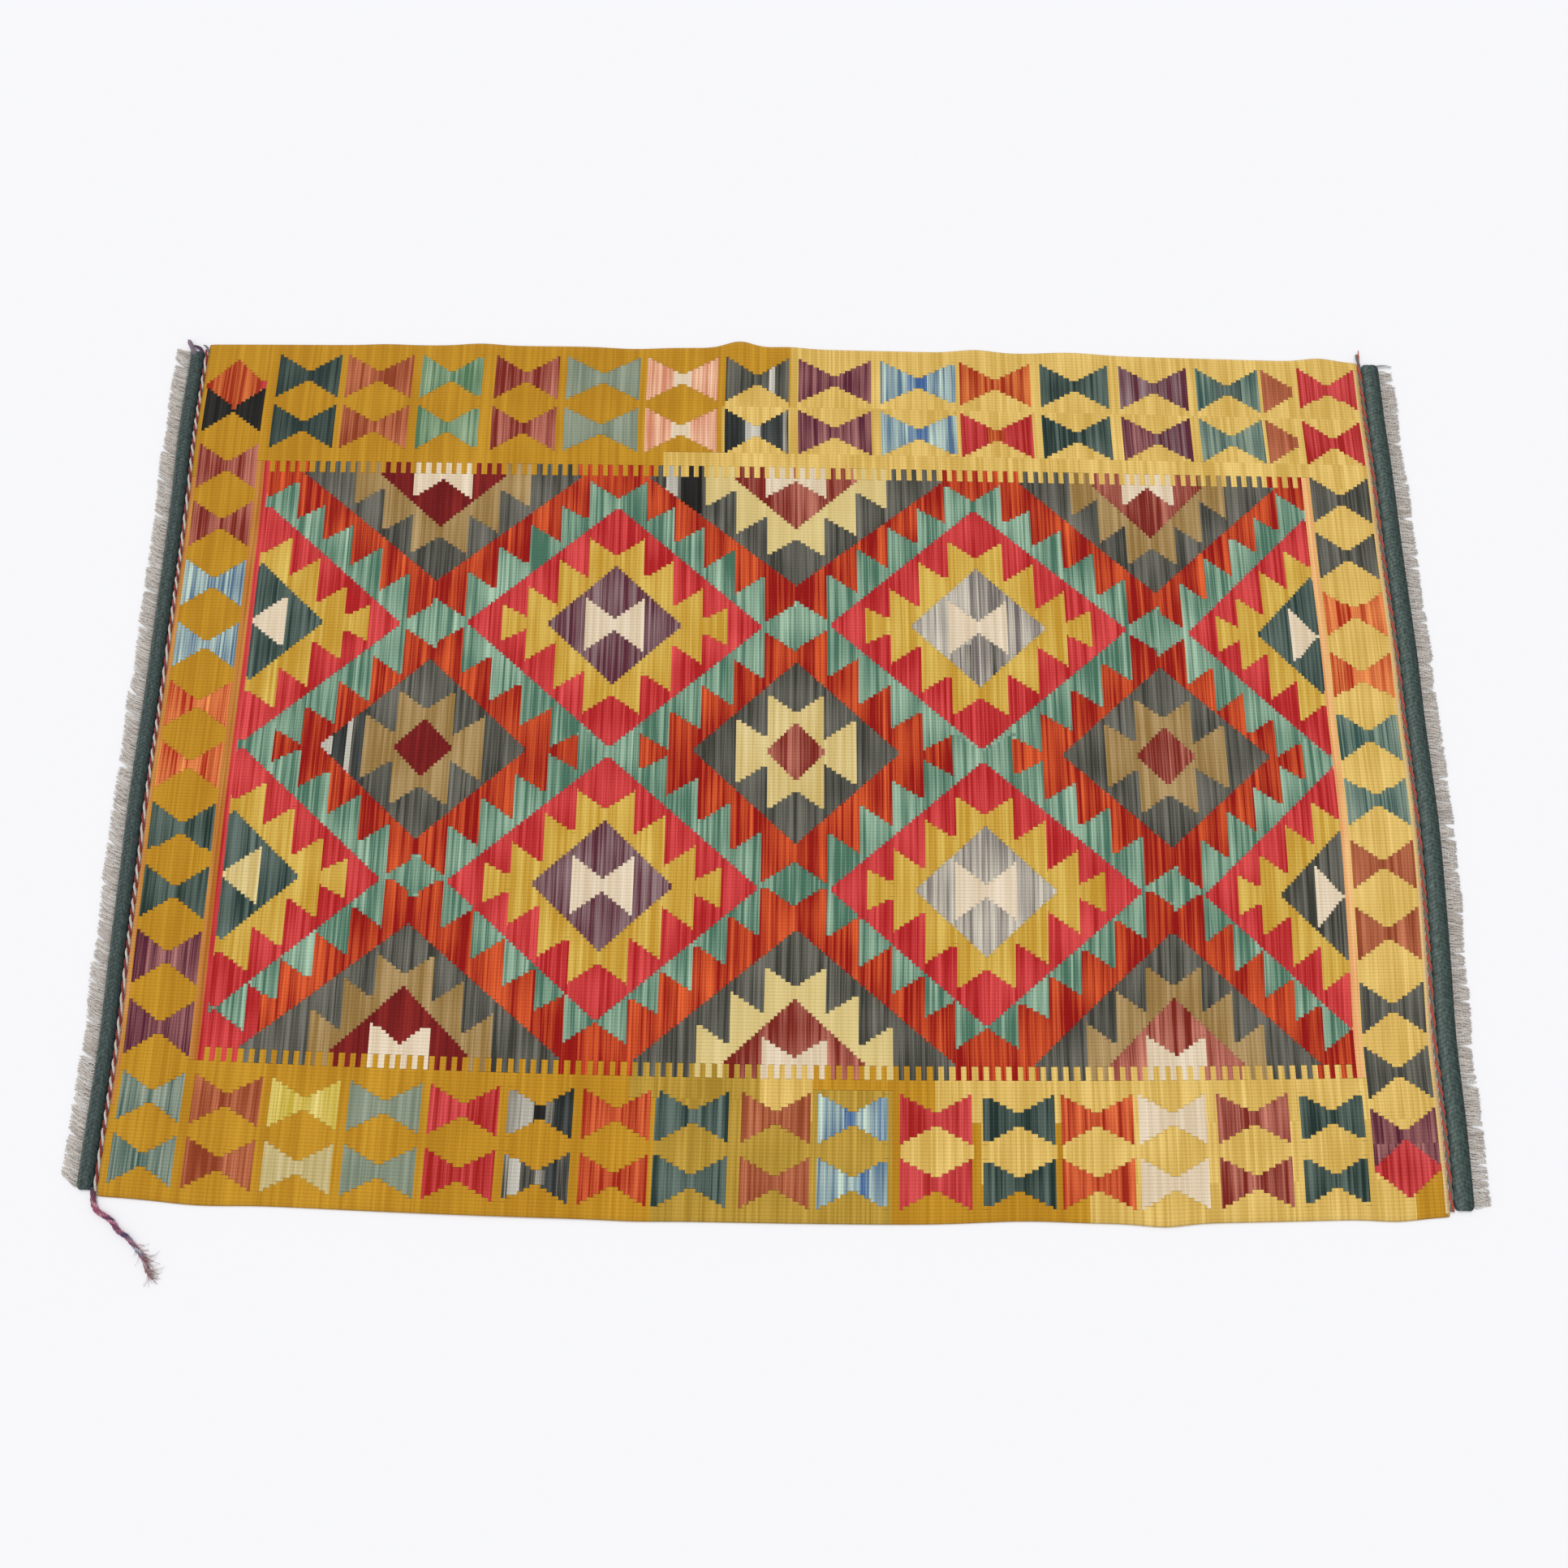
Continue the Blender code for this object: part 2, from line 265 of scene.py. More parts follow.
# Places inside a motif where the weaver went on with another wool, only where the old wool was
Patch = namedtuple("Patch", "left right near far old wool")
FIELD_PATCHES = (
    Patch(-545, -527, -60, 60, "charcoal", "pale_grey"),
    Patch(-511, -505, -60, 60, "charcoal", "pale_grey"),
    Patch(-505, -499, -60, 60, "charcoal", "grey"),
    Patch(-527, -489, -60, 60, "charcoal", "ink"),
    Patch(-643, -581, -354, -285, "band_red", "coral"),
    Patch(-146, -132, 280, 345, "charcoal", "pale_grey"),
    Patch(-128, -102, 260, 345, "charcoal", "black"),
    Patch(214, 222, 60, 128, "lavender", "grey"),
    Patch(245, 256, 60, 128, "lavender", "grey"),
)
BORDER_PATCHES = (
    Patch(-281, -268, -440, -380, "grey", "pale_grey"),
    Patch(-267, -254, -440, -380, "grey", "black"),
    Patch(-245, -222, -440, -380, "grey", "ink"),
    Patch(-290, -277, -510, -440, "grey", "pale_grey"),
    Patch(-250, -237, -510, -440, "grey", "ink"),
    Patch(-277, -262, -510, -440, "grey", "charcoal"),
    Patch(86, 100, -510, -440, "light_blue", "blue"),
    Patch(72, 84, -440, -380, "light_blue", "blue"),
    Patch(108, 115, -440, -380, "light_blue", "blue"),
    Patch(-74, -48, 370, 432, "grey", "ink"),
    Patch(-48, -29, 370, 432, "grey", "pale_grey"),
    Patch(-29, -1, 370, 432, "grey", "ink"),
    Patch(-19, -12, 436, 510, "grey", "pale_grey"),
    Patch(-74, 6, 436, 510, "grey", "charcoal"),
    Patch(155, 180, 370, 510, "light_blue", "blue"),
    Patch(-140, -118, 370, 510, "pink", "cream"),
    Patch(422, 462, 370, 432, "purple", "plum"),
    Patch(540, 575, 436, 510, "teal", "deep_teal"),
    Patch(255, 276, 370, 432, "red", "orange"),
)


GOLDEN_RATIO = 0.618034


def golden(count):
    """A seed between 0 and 1 for the motif of that number: the fraction of count * the golden ratio."""
    return (count * GOLDEN_RATIO) % 1.0


class Chart:
    """The wool and the streak seed at every place of the cloth: arrays of rows by places."""

    def __init__(self):
        self.u = (CLOTH_LEFT + (np.arange(CELLS * FINE) + 0.5) * PLACE_PITCH)[None, :]
        self.v = (CLOTH_NEAR + (np.arange(ROWS) + 0.5) * WARP_PITCH)[:, None]
        self.wool = np.zeros((ROWS, CELLS * FINE), np.int32)
        self.seed = np.zeros((ROWS, CELLS * FINE))
        self.motifs = 0
        self.clip = np.ones((ROWS, CELLS * FINE), bool)

    def paint(self, mask, wool):
        """Weave a wool into the masked places, with a new streak seed."""
        self.motifs += 1
        inside = mask & self.clip
        self.wool[inside] = WOOL_NUMBER[wool]
        self.seed[inside] = golden(self.motifs)

    def change(self, patch):
        """Change to the patch's wool inside its box, where its old wool was."""
        old = self.wool == WOOL_NUMBER[patch.old]
        self.paint(old & self.box(patch.left, patch.right, patch.near, patch.far), patch.wool)

    def across(self, middle):
        """Distance of each row from a motif's middle, which is set on the line between two warps."""
        snapped = CLOTH_NEAR + round((middle - CLOTH_NEAR) / WARP_PITCH) * WARP_PITCH
        return np.abs(self.v - snapped)

    def diamond(self, u, v, half_u, half_v):
        """Places where |du| / half_u + |dv| / half_v is under one."""
        return np.abs(self.u - u) / half_u + self.across(v) / half_v < 1.0

    def saw(self, u, v, teeth, narrow=1.0, near_loss=0.0):
        """Places nearer than the saw edge, whose height runs from low to high in each of its teeth."""
        du = np.abs(self.u - u) / narrow
        height = np.full(du.shape, -1.0)
        for tooth in teeth:
            share = (du - tooth.start) / (tooth.stop - tooth.start)
            inside = (share >= 0.0) & (share < 1.0)
            height = np.where(inside, tooth.low + share * (tooth.high - tooth.low), height)
        loss = np.where(self.v < v, near_loss, 0.0)
        return self.across(v) < height - loss

    def box(self, left, right, near, far):
        """Places with u from left to right and v from near to far."""
        return (self.u >= left) & (self.u < right) & (self.v >= near) & (self.v < far)

    def glass(self, left, right, v, half, waist=GLASS_WAIST, lead=GLASS_LEAD, rim=GLASS_RIM):
        """An hourglass on its side: upright ends, and a stair of one warp a step from corner to waist.

        A step's reach from the middle rises evenly from lead, beside the waist, to half the width less rim.
        """
        steps = max(2, round((half - waist) / WARP_PITCH))
        middle, half_u = (left + right) / 2.0, (right - left) / 2.0
        du, dv = np.abs(self.u - middle), np.abs(self.v - v)
        step = np.clip(np.ceil((dv - waist) / (half - waist) * steps), 0, steps)
        reach = np.where(step > 0, lead + (step - 1) / (steps - 1) * (half_u - rim - lead), 0.0)
        return (du <= half_u) & (dv <= half) & (du >= reach)


def weave_medallion(chart, m, teeth):
    """A diamond, a saw-toothed ring on it, a smaller diamond in the ring, and an hourglass at its heart."""
    chart.paint(chart.diamond(m.u, m.v, m.half_u, m.half_v), m.outer)
    chart.paint(chart.saw(m.u, m.v, teeth, m.narrow), m.ring)
    chart.paint(chart.diamond(m.u, m.v, INNER_HALF_U * m.narrow, INNER_HALF_V), m.inner)
    middle = max(m.u, FIELD_LEFT + 1.0) if m.waist else FIELD_LEFT + 1.0
    half_u = m.u + HEART_HALF_U * m.narrow - middle
    ends = (middle - half_u, middle + half_u)
    chart.paint(chart.glass(*ends, m.v, HEART_HALF_V, m.waist, HEART_LEAD, HEART_RIM), m.heart)


def weave_small_diamond(chart, d):
    """A charcoal diamond, a saw-toothed star on it, and a small diamond as its seed."""
    chart.paint(chart.diamond(d.u, d.v, SMALL_HALF_U, SMALL_HALF_V), "charcoal")
    chart.paint(chart.saw(d.u, d.v, STAR_TEETH), d.ring)
    chart.paint(chart.diamond(d.u, d.v, SEED_HALF_U, SEED_HALF_V), d.inner)


def weave_field(chart):
    """The red field: green saws round its medallions, then the medallions, diamonds and changes of wool."""
    field = chart.box(FIELD_LEFT, FIELD_RIGHT, FIELD_NEAR, FIELD_FAR)
    chart.paint(field, "coral")
    chart.clip = field & (chart.u >= FIELD_LEFT + LEFT_LINE)
    chart.paint(field, "band_red")
    for m in RED_MEDALLIONS:
        loss = NEAR_SIDE_LOSS if m.v < 0 else 0.0
        chart.paint(chart.saw(m.u, m.v, GREEN_TEETH, m.narrow, loss), "saw_green")
    for m in RED_MEDALLIONS:
        weave_medallion(chart, m, RING_TEETH)
    for m in EDGE_MEDALLIONS:
        weave_medallion(chart, m, EDGE_TEETH)
    for d in SMALL_DIAMONDS:
        weave_small_diamond(chart, d)
    for p in FIELD_PATCHES:
        chart.change(p)
    chart.clip = np.ones_like(chart.clip)


def weave_comb(chart):
    """The field's wools run out into the border in thin teeth along its far and near sides.

    A tooth stands where the distance from the field's left edge, modulo the pitch, is under its width.
    """
    tooth = ((chart.u - FIELD_LEFT) % COMB_PITCH) < COMB_TOOTH
    inside = (chart.u > FIELD_LEFT) & (chart.u < FIELD_RIGHT)
    rows = chart.v[:, 0]
    for edge, stop, step in ((FIELD_FAR, COMB_FAR, -1), (FIELD_NEAR, COMB_NEAR, 1)):
        source = int(np.argmin(np.abs(rows - edge))) + step
        between = (rows > min(edge, stop)) & (rows < max(edge, stop))
        mask = tooth & inside & between[:, None]
        chart.wool = np.where(mask, chart.wool[source][None, :], chart.wool)
        chart.seed = np.where(mask, chart.seed[source][None, :], chart.seed)


def weave_corners(chart):
    """The odd motifs at the border's far left and near right corners."""
    left, right = LEFT_COLUMN.left, LEFT_COLUMN.right
    chart.paint(chart.diamond(u=-692, v=458, half_u=39, half_v=37), "orange")
    chart.paint(chart.box(left=-661, right=right, near=452, far=464), "red")
    half_glass = chart.glass(left, right, v=422, half=30.0, waist=3.0, lead=3.0) & (chart.v < 452)
    chart.paint(half_glass, "black")
    chart.paint(chart.box(RIGHT_COLUMN.left, RIGHT_COLUMN.right, near=-463, far=-438), "plum")
    chart.paint(chart.diamond(u=683, v=-465, half_u=38, half_v=31), "red")


def weave_border(chart):
    """Two rows of hourglasses along each side, a column along each end, the corners, and the end lines."""
    for c in FAR_COLUMNS:
        chart.paint(chart.glass(c.left, c.right, *FAR_OUTER), c.outer)
        chart.paint(chart.glass(c.left, c.right, *FAR_INNER), c.inner or c.outer)
    for row in (FAR_OUTER, FAR_INNER):
        whole = chart.glass(CUT_LEFT, CUT_RIGHT, *row)
        chart.paint(whole & (chart.u < CUT_AT), "rust")
    for c in NEAR_COLUMNS:
        chart.paint(chart.glass(c.left, c.right, *NEAR_OUTER), c.outer)
        chart.paint(chart.glass(c.left, c.right, *NEAR_INNER), c.inner or c.outer)
    for column, glasses in ((LEFT_COLUMN, LEFT_GLASSES), (RIGHT_COLUMN, RIGHT_GLASSES)):
        for wool, middles in glasses:
            for v in middles:
                chart.paint(chart.glass(column.left, column.right, v, column.half), wool)
    weave_corners(chart)
    for p in BORDER_PATCHES:
        chart.change(p)
    chart.paint(chart.box(CLOTH_LEFT, CLOTH_LEFT + EDGE_LINE, *LEFT_LINE_SPAN), "edge_orange")
    chart.paint(chart.box(CLOTH_RIGHT - EDGE_LINE, CLOTH_RIGHT, *RIGHT_LINE_SPAN), "edge_cream")


def weave_chart():
    """The whole chart: the border's ground, the stripes, the field, its comb and the border's motifs."""
    chart = Chart()
    beyond = FIELD_RIGHT + RIGHT_LINE
    for g in GROUNDS:
        chart.paint(chart.box(g.left, g.right, g.near, g.far), g.wool)
    chart.paint(chart.box(FIELD_LEFT - LEFT_STRIPE, FIELD_LEFT, COMB_NEAR, COMB_FAR), "stripe_orange")
    chart.paint(chart.box(beyond, beyond + RIGHT_STRIPE, COMB_NEAR, COMB_FAR), "stripe_peach")
    weave_field(chart)
    chart.paint(chart.box(FIELD_RIGHT, beyond, FIELD_NEAR, FIELD_FAR), "maroon")
    weave_comb(chart)
    weave_border(chart)
    return chart


# MESH
MM = 0.001
HALF_LENGTH, HALF_WIDTH = 0.730, 0.510
SEAM_GAP = 0.0003
TWINE_RADIUS = 0.0021
BAND_WIDTH = {"left": 0.0180, "right": 0.0220}
BAND_BASE, BAND_RIDGE, BAND_VALLEY = 0.0020, 0.0042, 0.0032

# The rug's edges as they lie: distance from the middle, how they slope and bow, and their smooth humps,
# each with its place along the edge, how far it stands out, and its half width
Hump = namedtuple("Hump", "place height spread")
Edge = namedtuple("Edge", "base slope bow reach humps")
FAR_EDGE = Edge(base=0.5155, slope=-0.004, bow=0.007, reach=HALF_LENGTH, humps=(
    Hump(-0.510, 0.0015, 0.030),
    Hump(-0.390, 0.0030, 0.030),
    Hump(-0.195, -0.0025, 0.040),
    Hump(-0.060, 0.0100, 0.024),
    Hump(0.000, 0.0030, 0.030),
    Hump(0.240, 0.0045, 0.030),
    Hump(0.360, 0.0035, 0.045),
    Hump(0.675, 0.0050, 0.026),
))
NEAR_EDGE = Edge(base=0.517, slope=0.0, bow=0.017, reach=HALF_LENGTH, humps=(
    Hump(-0.620, 0.0030, 0.050),
    Hump(-0.150, 0.0010, 0.040),
    Hump(0.270, -0.0035, 0.070),
    Hump(0.420, 0.0035, 0.030),
    Hump(0.670, 0.0030, 0.030),
))
LEFT_END = Edge(base=0.733, slope=0.003, bow=0.0, reach=HALF_WIDTH, humps=(
    Hump(0.400, 0.0025, 0.080),
    Hump(-0.070, 0.0015, 0.080),
    Hump(-0.360, -0.0025, 0.090),
))
RIGHT_END = Edge(base=0.7245, slope=-0.0015, bow=0.007, reach=HALF_WIDTH, humps=(
    Hump(0.270, -0.0008, 0.080),
    Hump(-0.090, 0.0032, 0.110),
    Hump(0.430, -0.0010, 0.050),
    Hump(0.120, 0.0010, 0.060),
    Hump(-0.330, -0.0025, 0.070),
))
ENDS = {"left": LEFT_END, "right": RIGHT_END}
OUTWARD = {"left": -1.0, "right": 1.0}
HUMP_DEPTH = 0.012           # how far into the cloth a hump of its edge is felt
FLOOR_PASSES = 4             # times that the shifts are worked out
CORNER_INSET, CORNER_REACH = 0.0006, 0.003  # how far a corner is drawn in, and how far that is felt
CLOTH_TOP, CLOTH_UNDER = 0.0028, 0.0002
EDGE_ROLL, EDGE_ROLL_REACH = 0.0010, 0.0016  # how far the cloth's edge rolls down, and from how far in


def broad(edge, across):
    """An edge's slow part: slope * t + bow * (1 - t squared), where t = across / reach."""
    t = across / edge.reach
    return edge.slope * t + edge.bow * (1.0 - t * t)


def humps_at(edge, across):
    """The sum of height * exp(-((across - place) / spread) squared) over an edge's humps."""
    return sum(h.height * np.exp(-(((across - h.place) / h.spread) ** 2)) for h in edge.humps)


def end_line(side, y, outward):
    """The X of the line that runs a given distance outside one of the cloth's ends."""
    edge = ENDS[side]
    return OUTWARD[side] * (edge.base + broad(edge, y) + humps_at(edge, y) + outward)


def floor_place(u, v):
    """Where a point of the loom lies on the floor: each edge's shift, weighted by how near the edge is.

    The shifts are read at the shifted place, so they are worked out again from it a few times.
    """
    left, right, near, far = (value * MM for value in (CLOTH_LEFT, CLOTH_RIGHT, CLOTH_NEAR, CLOTH_FAR))
    to_right = (u - left) / (right - left)
    to_far = (v - near) / (far - near)
    near_felt = np.exp(-(v - near) / HUMP_DEPTH)
    far_felt = np.exp(-(far - v) / HUMP_DEPTH)
    x, y = u, v
    for _ in range(FLOOR_PASSES):
        left_pull, right_pull = (broad(edge, y) + humps_at(edge, y) for edge in (LEFT_END, RIGHT_END))
        x = u - (1.0 - to_right) * left_pull + to_right * right_pull
        slow = to_far * broad(FAR_EDGE, x) - (1.0 - to_far) * broad(NEAR_EDGE, x)
        y = v + slow + far_felt * humps_at(FAR_EDGE, x) - near_felt * humps_at(NEAR_EDGE, x)
    from_end = np.minimum(u - left, right - u)
    from_side = np.minimum(v - near, far - v)
    cut = CORNER_INSET * np.exp(-(from_end + from_side) / CORNER_REACH)
    return x - np.sign(u) * cut, y - np.sign(v) * cut


def display(colour):
    """Linear light for a display colour given in 0 to 255 values."""
    c = np.asarray(colour, float) / 255.0
    return np.where(c <= 0.04045, c / 12.92, ((c + 0.055) / 1.055) ** 2.4)


def make_object(name, points, faces, material):
    """A smooth-shaded piece from its points and faces, riding on the rug's one body."""
    mesh = bpy.data.meshes.new(name)
    mesh.from_pydata(np.asarray(points).reshape(-1, 3).tolist(), [], faces)
    mesh.polygons.foreach_set("use_smooth", np.full(len(mesh.polygons), True))
    mesh.materials.append(material)
    piece = bpy.data.objects.new(name, mesh)
    bpy.context.scene.collection.objects.link(piece)
    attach(piece, "root")
    return piece


def give(piece, name, kind, domain, values):
    """Store an array on the piece's mesh as a named attribute."""
    attribute = piece.data.attributes.new(name, kind, domain)
    key = "color" if kind == "FLOAT_COLOR" else "vector" if kind in ("FLOAT_VECTOR", "FLOAT2") else "value"
    attribute.data.foreach_set(key, np.asarray(values, np.float32).ravel())


def grid_quads(rows, columns, start=0):
    """The quads of a grid of points, row by row, anticlockwise when columns run right and rows up."""
    j, i = np.meshgrid(np.arange(rows), np.arange(columns), indexing="ij")
    corner = start + j * (columns + 1) + i
    return np.stack([corner, corner + 1, corner + columns + 2, corner + columns + 1], -1).reshape(-1, 4)


# The cloth's slow ripples: the height of each in millimetres, its turn for each metre of X and Y, its start
Ripple = namedtuple("Ripple", "height per_x per_y start")
RIPPLES = (
    Ripple(0.25, 9.0, 4.0, 0.0),
    Ripple(0.20, 17.0, -11.0, 1.0),
    Ripple(0.12, 5.0, 31.0, 0.0),
)


def cloth_height(x, y, from_edge):
    """The cloth's top, rolled down at its edges: ripples add height * sin(per_x * x + per_y * y + start)."""
    ripple = sum(r.height * np.sin(r.per_x * x + r.per_y * y + r.start) for r in RIPPLES)
    return CLOTH_TOP + ripple * MM - EDGE_ROLL * np.exp(-from_edge / EDGE_ROLL_REACH)


def build_rim(upper, lower, flip):
    """Five-sided faces between two steps of the upper line of points and one of the lower line."""
    faces = np.stack([lower[:-1], lower[1:], upper[2::2], upper[1::2], upper[:-2:2]], -1)
    return faces[:, ::-1] if flip else faces


def build_cloth(chart, material):
    """The woven cloth: a face for each cell of each warp, a coarser underside, and a rim between them."""
    along = np.linspace(CLOTH_LEFT, CLOTH_RIGHT, CELLS + 1) * MM
    across = np.linspace(CLOTH_NEAR, CLOTH_FAR, ROWS + 1) * MM
    u, v = np.meshgrid(along, across)
    x, y = floor_place(u, v)
    from_end = np.minimum(u - u.min(), u.max() - u)
    from_side = np.minimum(v - v.min(), v.max() - v)
    top = np.stack([x, y, cloth_height(x, y, np.minimum(from_end, from_side))], -1)
    under = np.stack([x[::2, ::2], y[::2, ::2], np.full_like(x[::2, ::2], CLOTH_UNDER)], -1)
    above = np.arange(u.size).reshape(u.shape)
    below = u.size + np.arange(under[..., 0].size).reshape(under.shape[:2])
    top_quads = grid_quads(ROWS, CELLS)
    under_quads = grid_quads(ROWS // 2, CELLS // 2, u.size)[:, ::-1]
    rims = [
        build_rim(above[0], below[0], False),
        build_rim(above[-1], below[-1], True),
        build_rim(above[:, 0], below[:, 0], True),
        build_rim(above[:, -1], below[:, -1], False),
    ]
    faces = top_quads.tolist() + under_quads.tolist() + np.concatenate(rims).tolist()
    points = np.concatenate([top.reshape(-1, 3), under.reshape(-1, 3)])
    piece = make_object("kilim_cloth", points, faces, material)
    give_wools(piece, chart)
    rest = under_quads.size + sum(r.size for r in rims)
    give(piece, "slit", "FLOAT", "CORNER", np.concatenate([slit_corners(chart), np.zeros(rest)]))
    loom = np.stack([u, v, np.zeros_like(u)], -1)
    weave = np.concatenate([loom.reshape(-1, 3), loom[::2, ::2].reshape(-1, 3)])
    give(piece, "weave", "FLOAT_VECTOR", "POINT", weave)
    bake_map(piece, loom, top_quads, under_quads, rims)
    return piece


def on_faces(cells):
    """A value for each cell of the chart, carried to the faces of the top, the underside and the rims."""
    parts = (cells, cells[::2, ::2], cells[0, ::2], cells[-1, ::2], cells[::2, 0], cells[::2, -1])
    return np.concatenate([p.reshape(-1, *cells.shape[2:]) for p in parts])


def give_wools(piece, chart):
    """Each face's wool at its first and last place, and the u at which it turns from the one to the other."""
    wool = chart.wool.reshape(ROWS, CELLS, FINE)
    seed = chart.seed.reshape(ROWS, CELLS, FINE)
    changed = wool != wool[:, :, :1]
    turn = np.where(changed.any(-1), changed.argmax(-1), FINE)
    place = np.arange(CELLS)[None, :] * FINE + turn
    give(piece, "turn", "FLOAT", "FACE", on_faces((CLOTH_LEFT + place * PLACE_PITCH) * MM))
    deep = display([w.deep for w in WOOLS.values()])
    light = display([w.light for w in WOOLS.values()])
    share = np.array([w.share for w in WOOLS.values()])
    for name, place in (("first", 0), ("second", FINE - 1)):
        kind = wool[:, :, place]
        deep_and_seed = np.concatenate([deep[kind], seed[:, :, place, None]], -1)
        light_and_share = np.concatenate([light[kind], share[kind][..., None]], -1)
        give(piece, name + "_deep", "FLOAT_COLOR", "FACE", on_faces(deep_and_seed))
        give(piece, name + "_light", "FLOAT_COLOR", "FACE", on_faces(light_and_share))


def slit_corners(chart):
    """At each corner of the top's faces, how much of the cell's line to the next row parts two wools."""
    wool = chart.wool.reshape(ROWS, CELLS, FINE)
    slit = np.zeros((ROWS + 1, CELLS))
    slit[1:-1] = (wool[1:] != wool[:-1]).mean(-1)
    return np.stack([slit[:-1], slit[:-1], slit[1:], slit[1:]], -1).reshape(-1)


# The cloth's flat map runs from 0 to 1 both ways: the size and the lower left corner of each part on it
MAP_TOP_SIZE, MAP_TOP_CORNER = (0.998, 0.704), (0.001, 0.294)
MAP_UNDER_SIZE, MAP_UNDER_CORNER = (0.40, 0.28), (0.001, 0.002)
MAP_RIM_LENGTH, MAP_RIM_LEFT = 0.5, 0.45
MAP_RIM_HEIGHT, MAP_RIM_LOW, MAP_RIM_PITCH = 0.03, 0.02, 0.06


def bake_map(piece, loom, top_quads, under_quads, rims):
    """A flat map of the whole cloth: its top fills the upper part, with the underside and the rims below."""
    unit = (loom[..., :2] - loom[0, 0, :2]) / (loom[-1, -1, :2] - loom[0, 0, :2])
    whole, coarse = unit.reshape(-1, 2), unit[::2, ::2].reshape(-1, 2)
    flat = np.concatenate([whole * MAP_TOP_SIZE + MAP_TOP_CORNER, coarse * MAP_UNDER_SIZE + MAP_UNDER_CORNER])
    parts = [flat[top_quads].reshape(-1, 2), flat[under_quads].reshape(-1, 2)]
    share = np.concatenate([whole, coarse])
    for number, faces in enumerate(rims):
        along = MAP_RIM_LEFT + MAP_RIM_LENGTH * share[faces][..., 0 if number < 2 else 1]
        height = np.where(faces < len(whole), MAP_RIM_HEIGHT, 0.0) + MAP_RIM_LOW + MAP_RIM_PITCH * number
        parts.append(np.stack([along, height], -1).reshape(-1, 2))
    layer = piece.data.uv_layers.new(name="OFBake")
    layer.uv.foreach_set("vector", np.concatenate(parts).astype(np.float32).ravel())


def unit_vectors(vectors, least=1e-9):
    """Each vector divided by its length."""
    return vectors / np.maximum(np.linalg.norm(vectors, axis=-1, keepdims=True), least)


def distance_along(path):
    """How far along its path each point of it lies: the running sum of the steps between points."""
    steps = np.cumsum(np.linalg.norm(np.diff(path, axis=-2), axis=-1), axis=-1)
    return np.concatenate([np.zeros((*steps.shape[:-1], 1)), steps], axis=-1)


def tubes(paths, radii, sides):
    """Tubes along paths (tubes, rings, 3): each ring is a circle in the plane across its path.

    Returns the points, the faces with both ends closed, and the distance along and turn round at each corner.
    """
    count, rings = paths.shape[:2]
    ahead = unit_vectors(np.gradient(paths, axis=1))
    beside = unit_vectors(np.cross(ahead, (0.0, 0.0, 1.0)))
    over = np.cross(beside, ahead)
    angle = 2.0 * math.pi * np.arange(sides)[:, None] / sides
    ring = np.cos(angle) * beside[:, :, None, :] + np.sin(angle) * over[:, :, None, :]
    points = paths[:, :, None, :] + radii[:, :, None, None] * ring
    number = np.arange(count * rings * sides).reshape(count, rings, sides)
    after = np.roll(number, -1, axis=2)
    quads = np.stack([number[:, :-1], number[:, 1:], after[:, 1:], after[:, :-1]], -1).reshape(-1, 4)
    faces = quads.tolist() + number[:, 0].tolist() + number[:, -1, ::-1].tolist()
    s = np.broadcast_to(distance_along(paths)[:, :, None], number.shape)
    a = np.broadcast_to(np.arange(sides) / sides, number.shape)
    s_corners = np.stack([s[:, :-1], s[:, 1:], s[:, 1:], s[:, :-1]], -1)
    a_corners = np.stack([a[:, :-1], a[:, 1:], a[:, 1:] + 1.0 / sides, a[:, :-1] + 1.0 / sides], -1)
    yarn = np.stack([s_corners, a_corners], -1).reshape(-1, 2)
    return points, faces, np.concatenate([yarn, np.zeros((2 * count * sides, 2))])


def build_yarns(name, paths, radii, sides, tints, material):
    """Tubes of yarn as one piece, with a tint for each ring and the map that their ply follows."""
    points, faces, yarn = tubes(paths, radii, sides)
    piece = make_object(name, points, faces, material)
    give_tint(piece, np.broadcast_to(tints[:, :, None, :], points.shape))
    give(piece, "yarn", "FLOAT2", "CORNER", yarn)
    return piece


def give_tint(piece, tint):
    """A colour for each point of the piece."""
    give(piece, "tint", "FLOAT_COLOR", "POINT", np.concatenate([tint, np.ones((*tint.shape[:-1], 1))], -1))


def fade(places, stops, colours):
    """The colour at each place, going evenly from each stop's colour to the next one's."""
    return np.stack([np.interp(places, stops, channel) for channel in display(colours).T], -1)


TWINE_TIPS = {"left": (-0.5115, 0.5120), "right": (-0.5115, 0.5240)}
TWINE_STEP = 0.0014
TWINE_STRAND, TWINE_ORBIT = 0.00130, 0.00105
TWINE_PITCH = {"left": 0.0215, "right": 0.0250}
TWINE_DRIFT = 0.042          # how much the strands' turn strays from one ring to the next, in radians
TWINE_SWAY, TWINE_SWAY_RATE = 2.0, 31.0
TWINE_TINTS = {
    "left": ((222, 212, 200), (146, 62, 62)),
    "right": ((192, 88, 72), (122, 120, 110)),
}


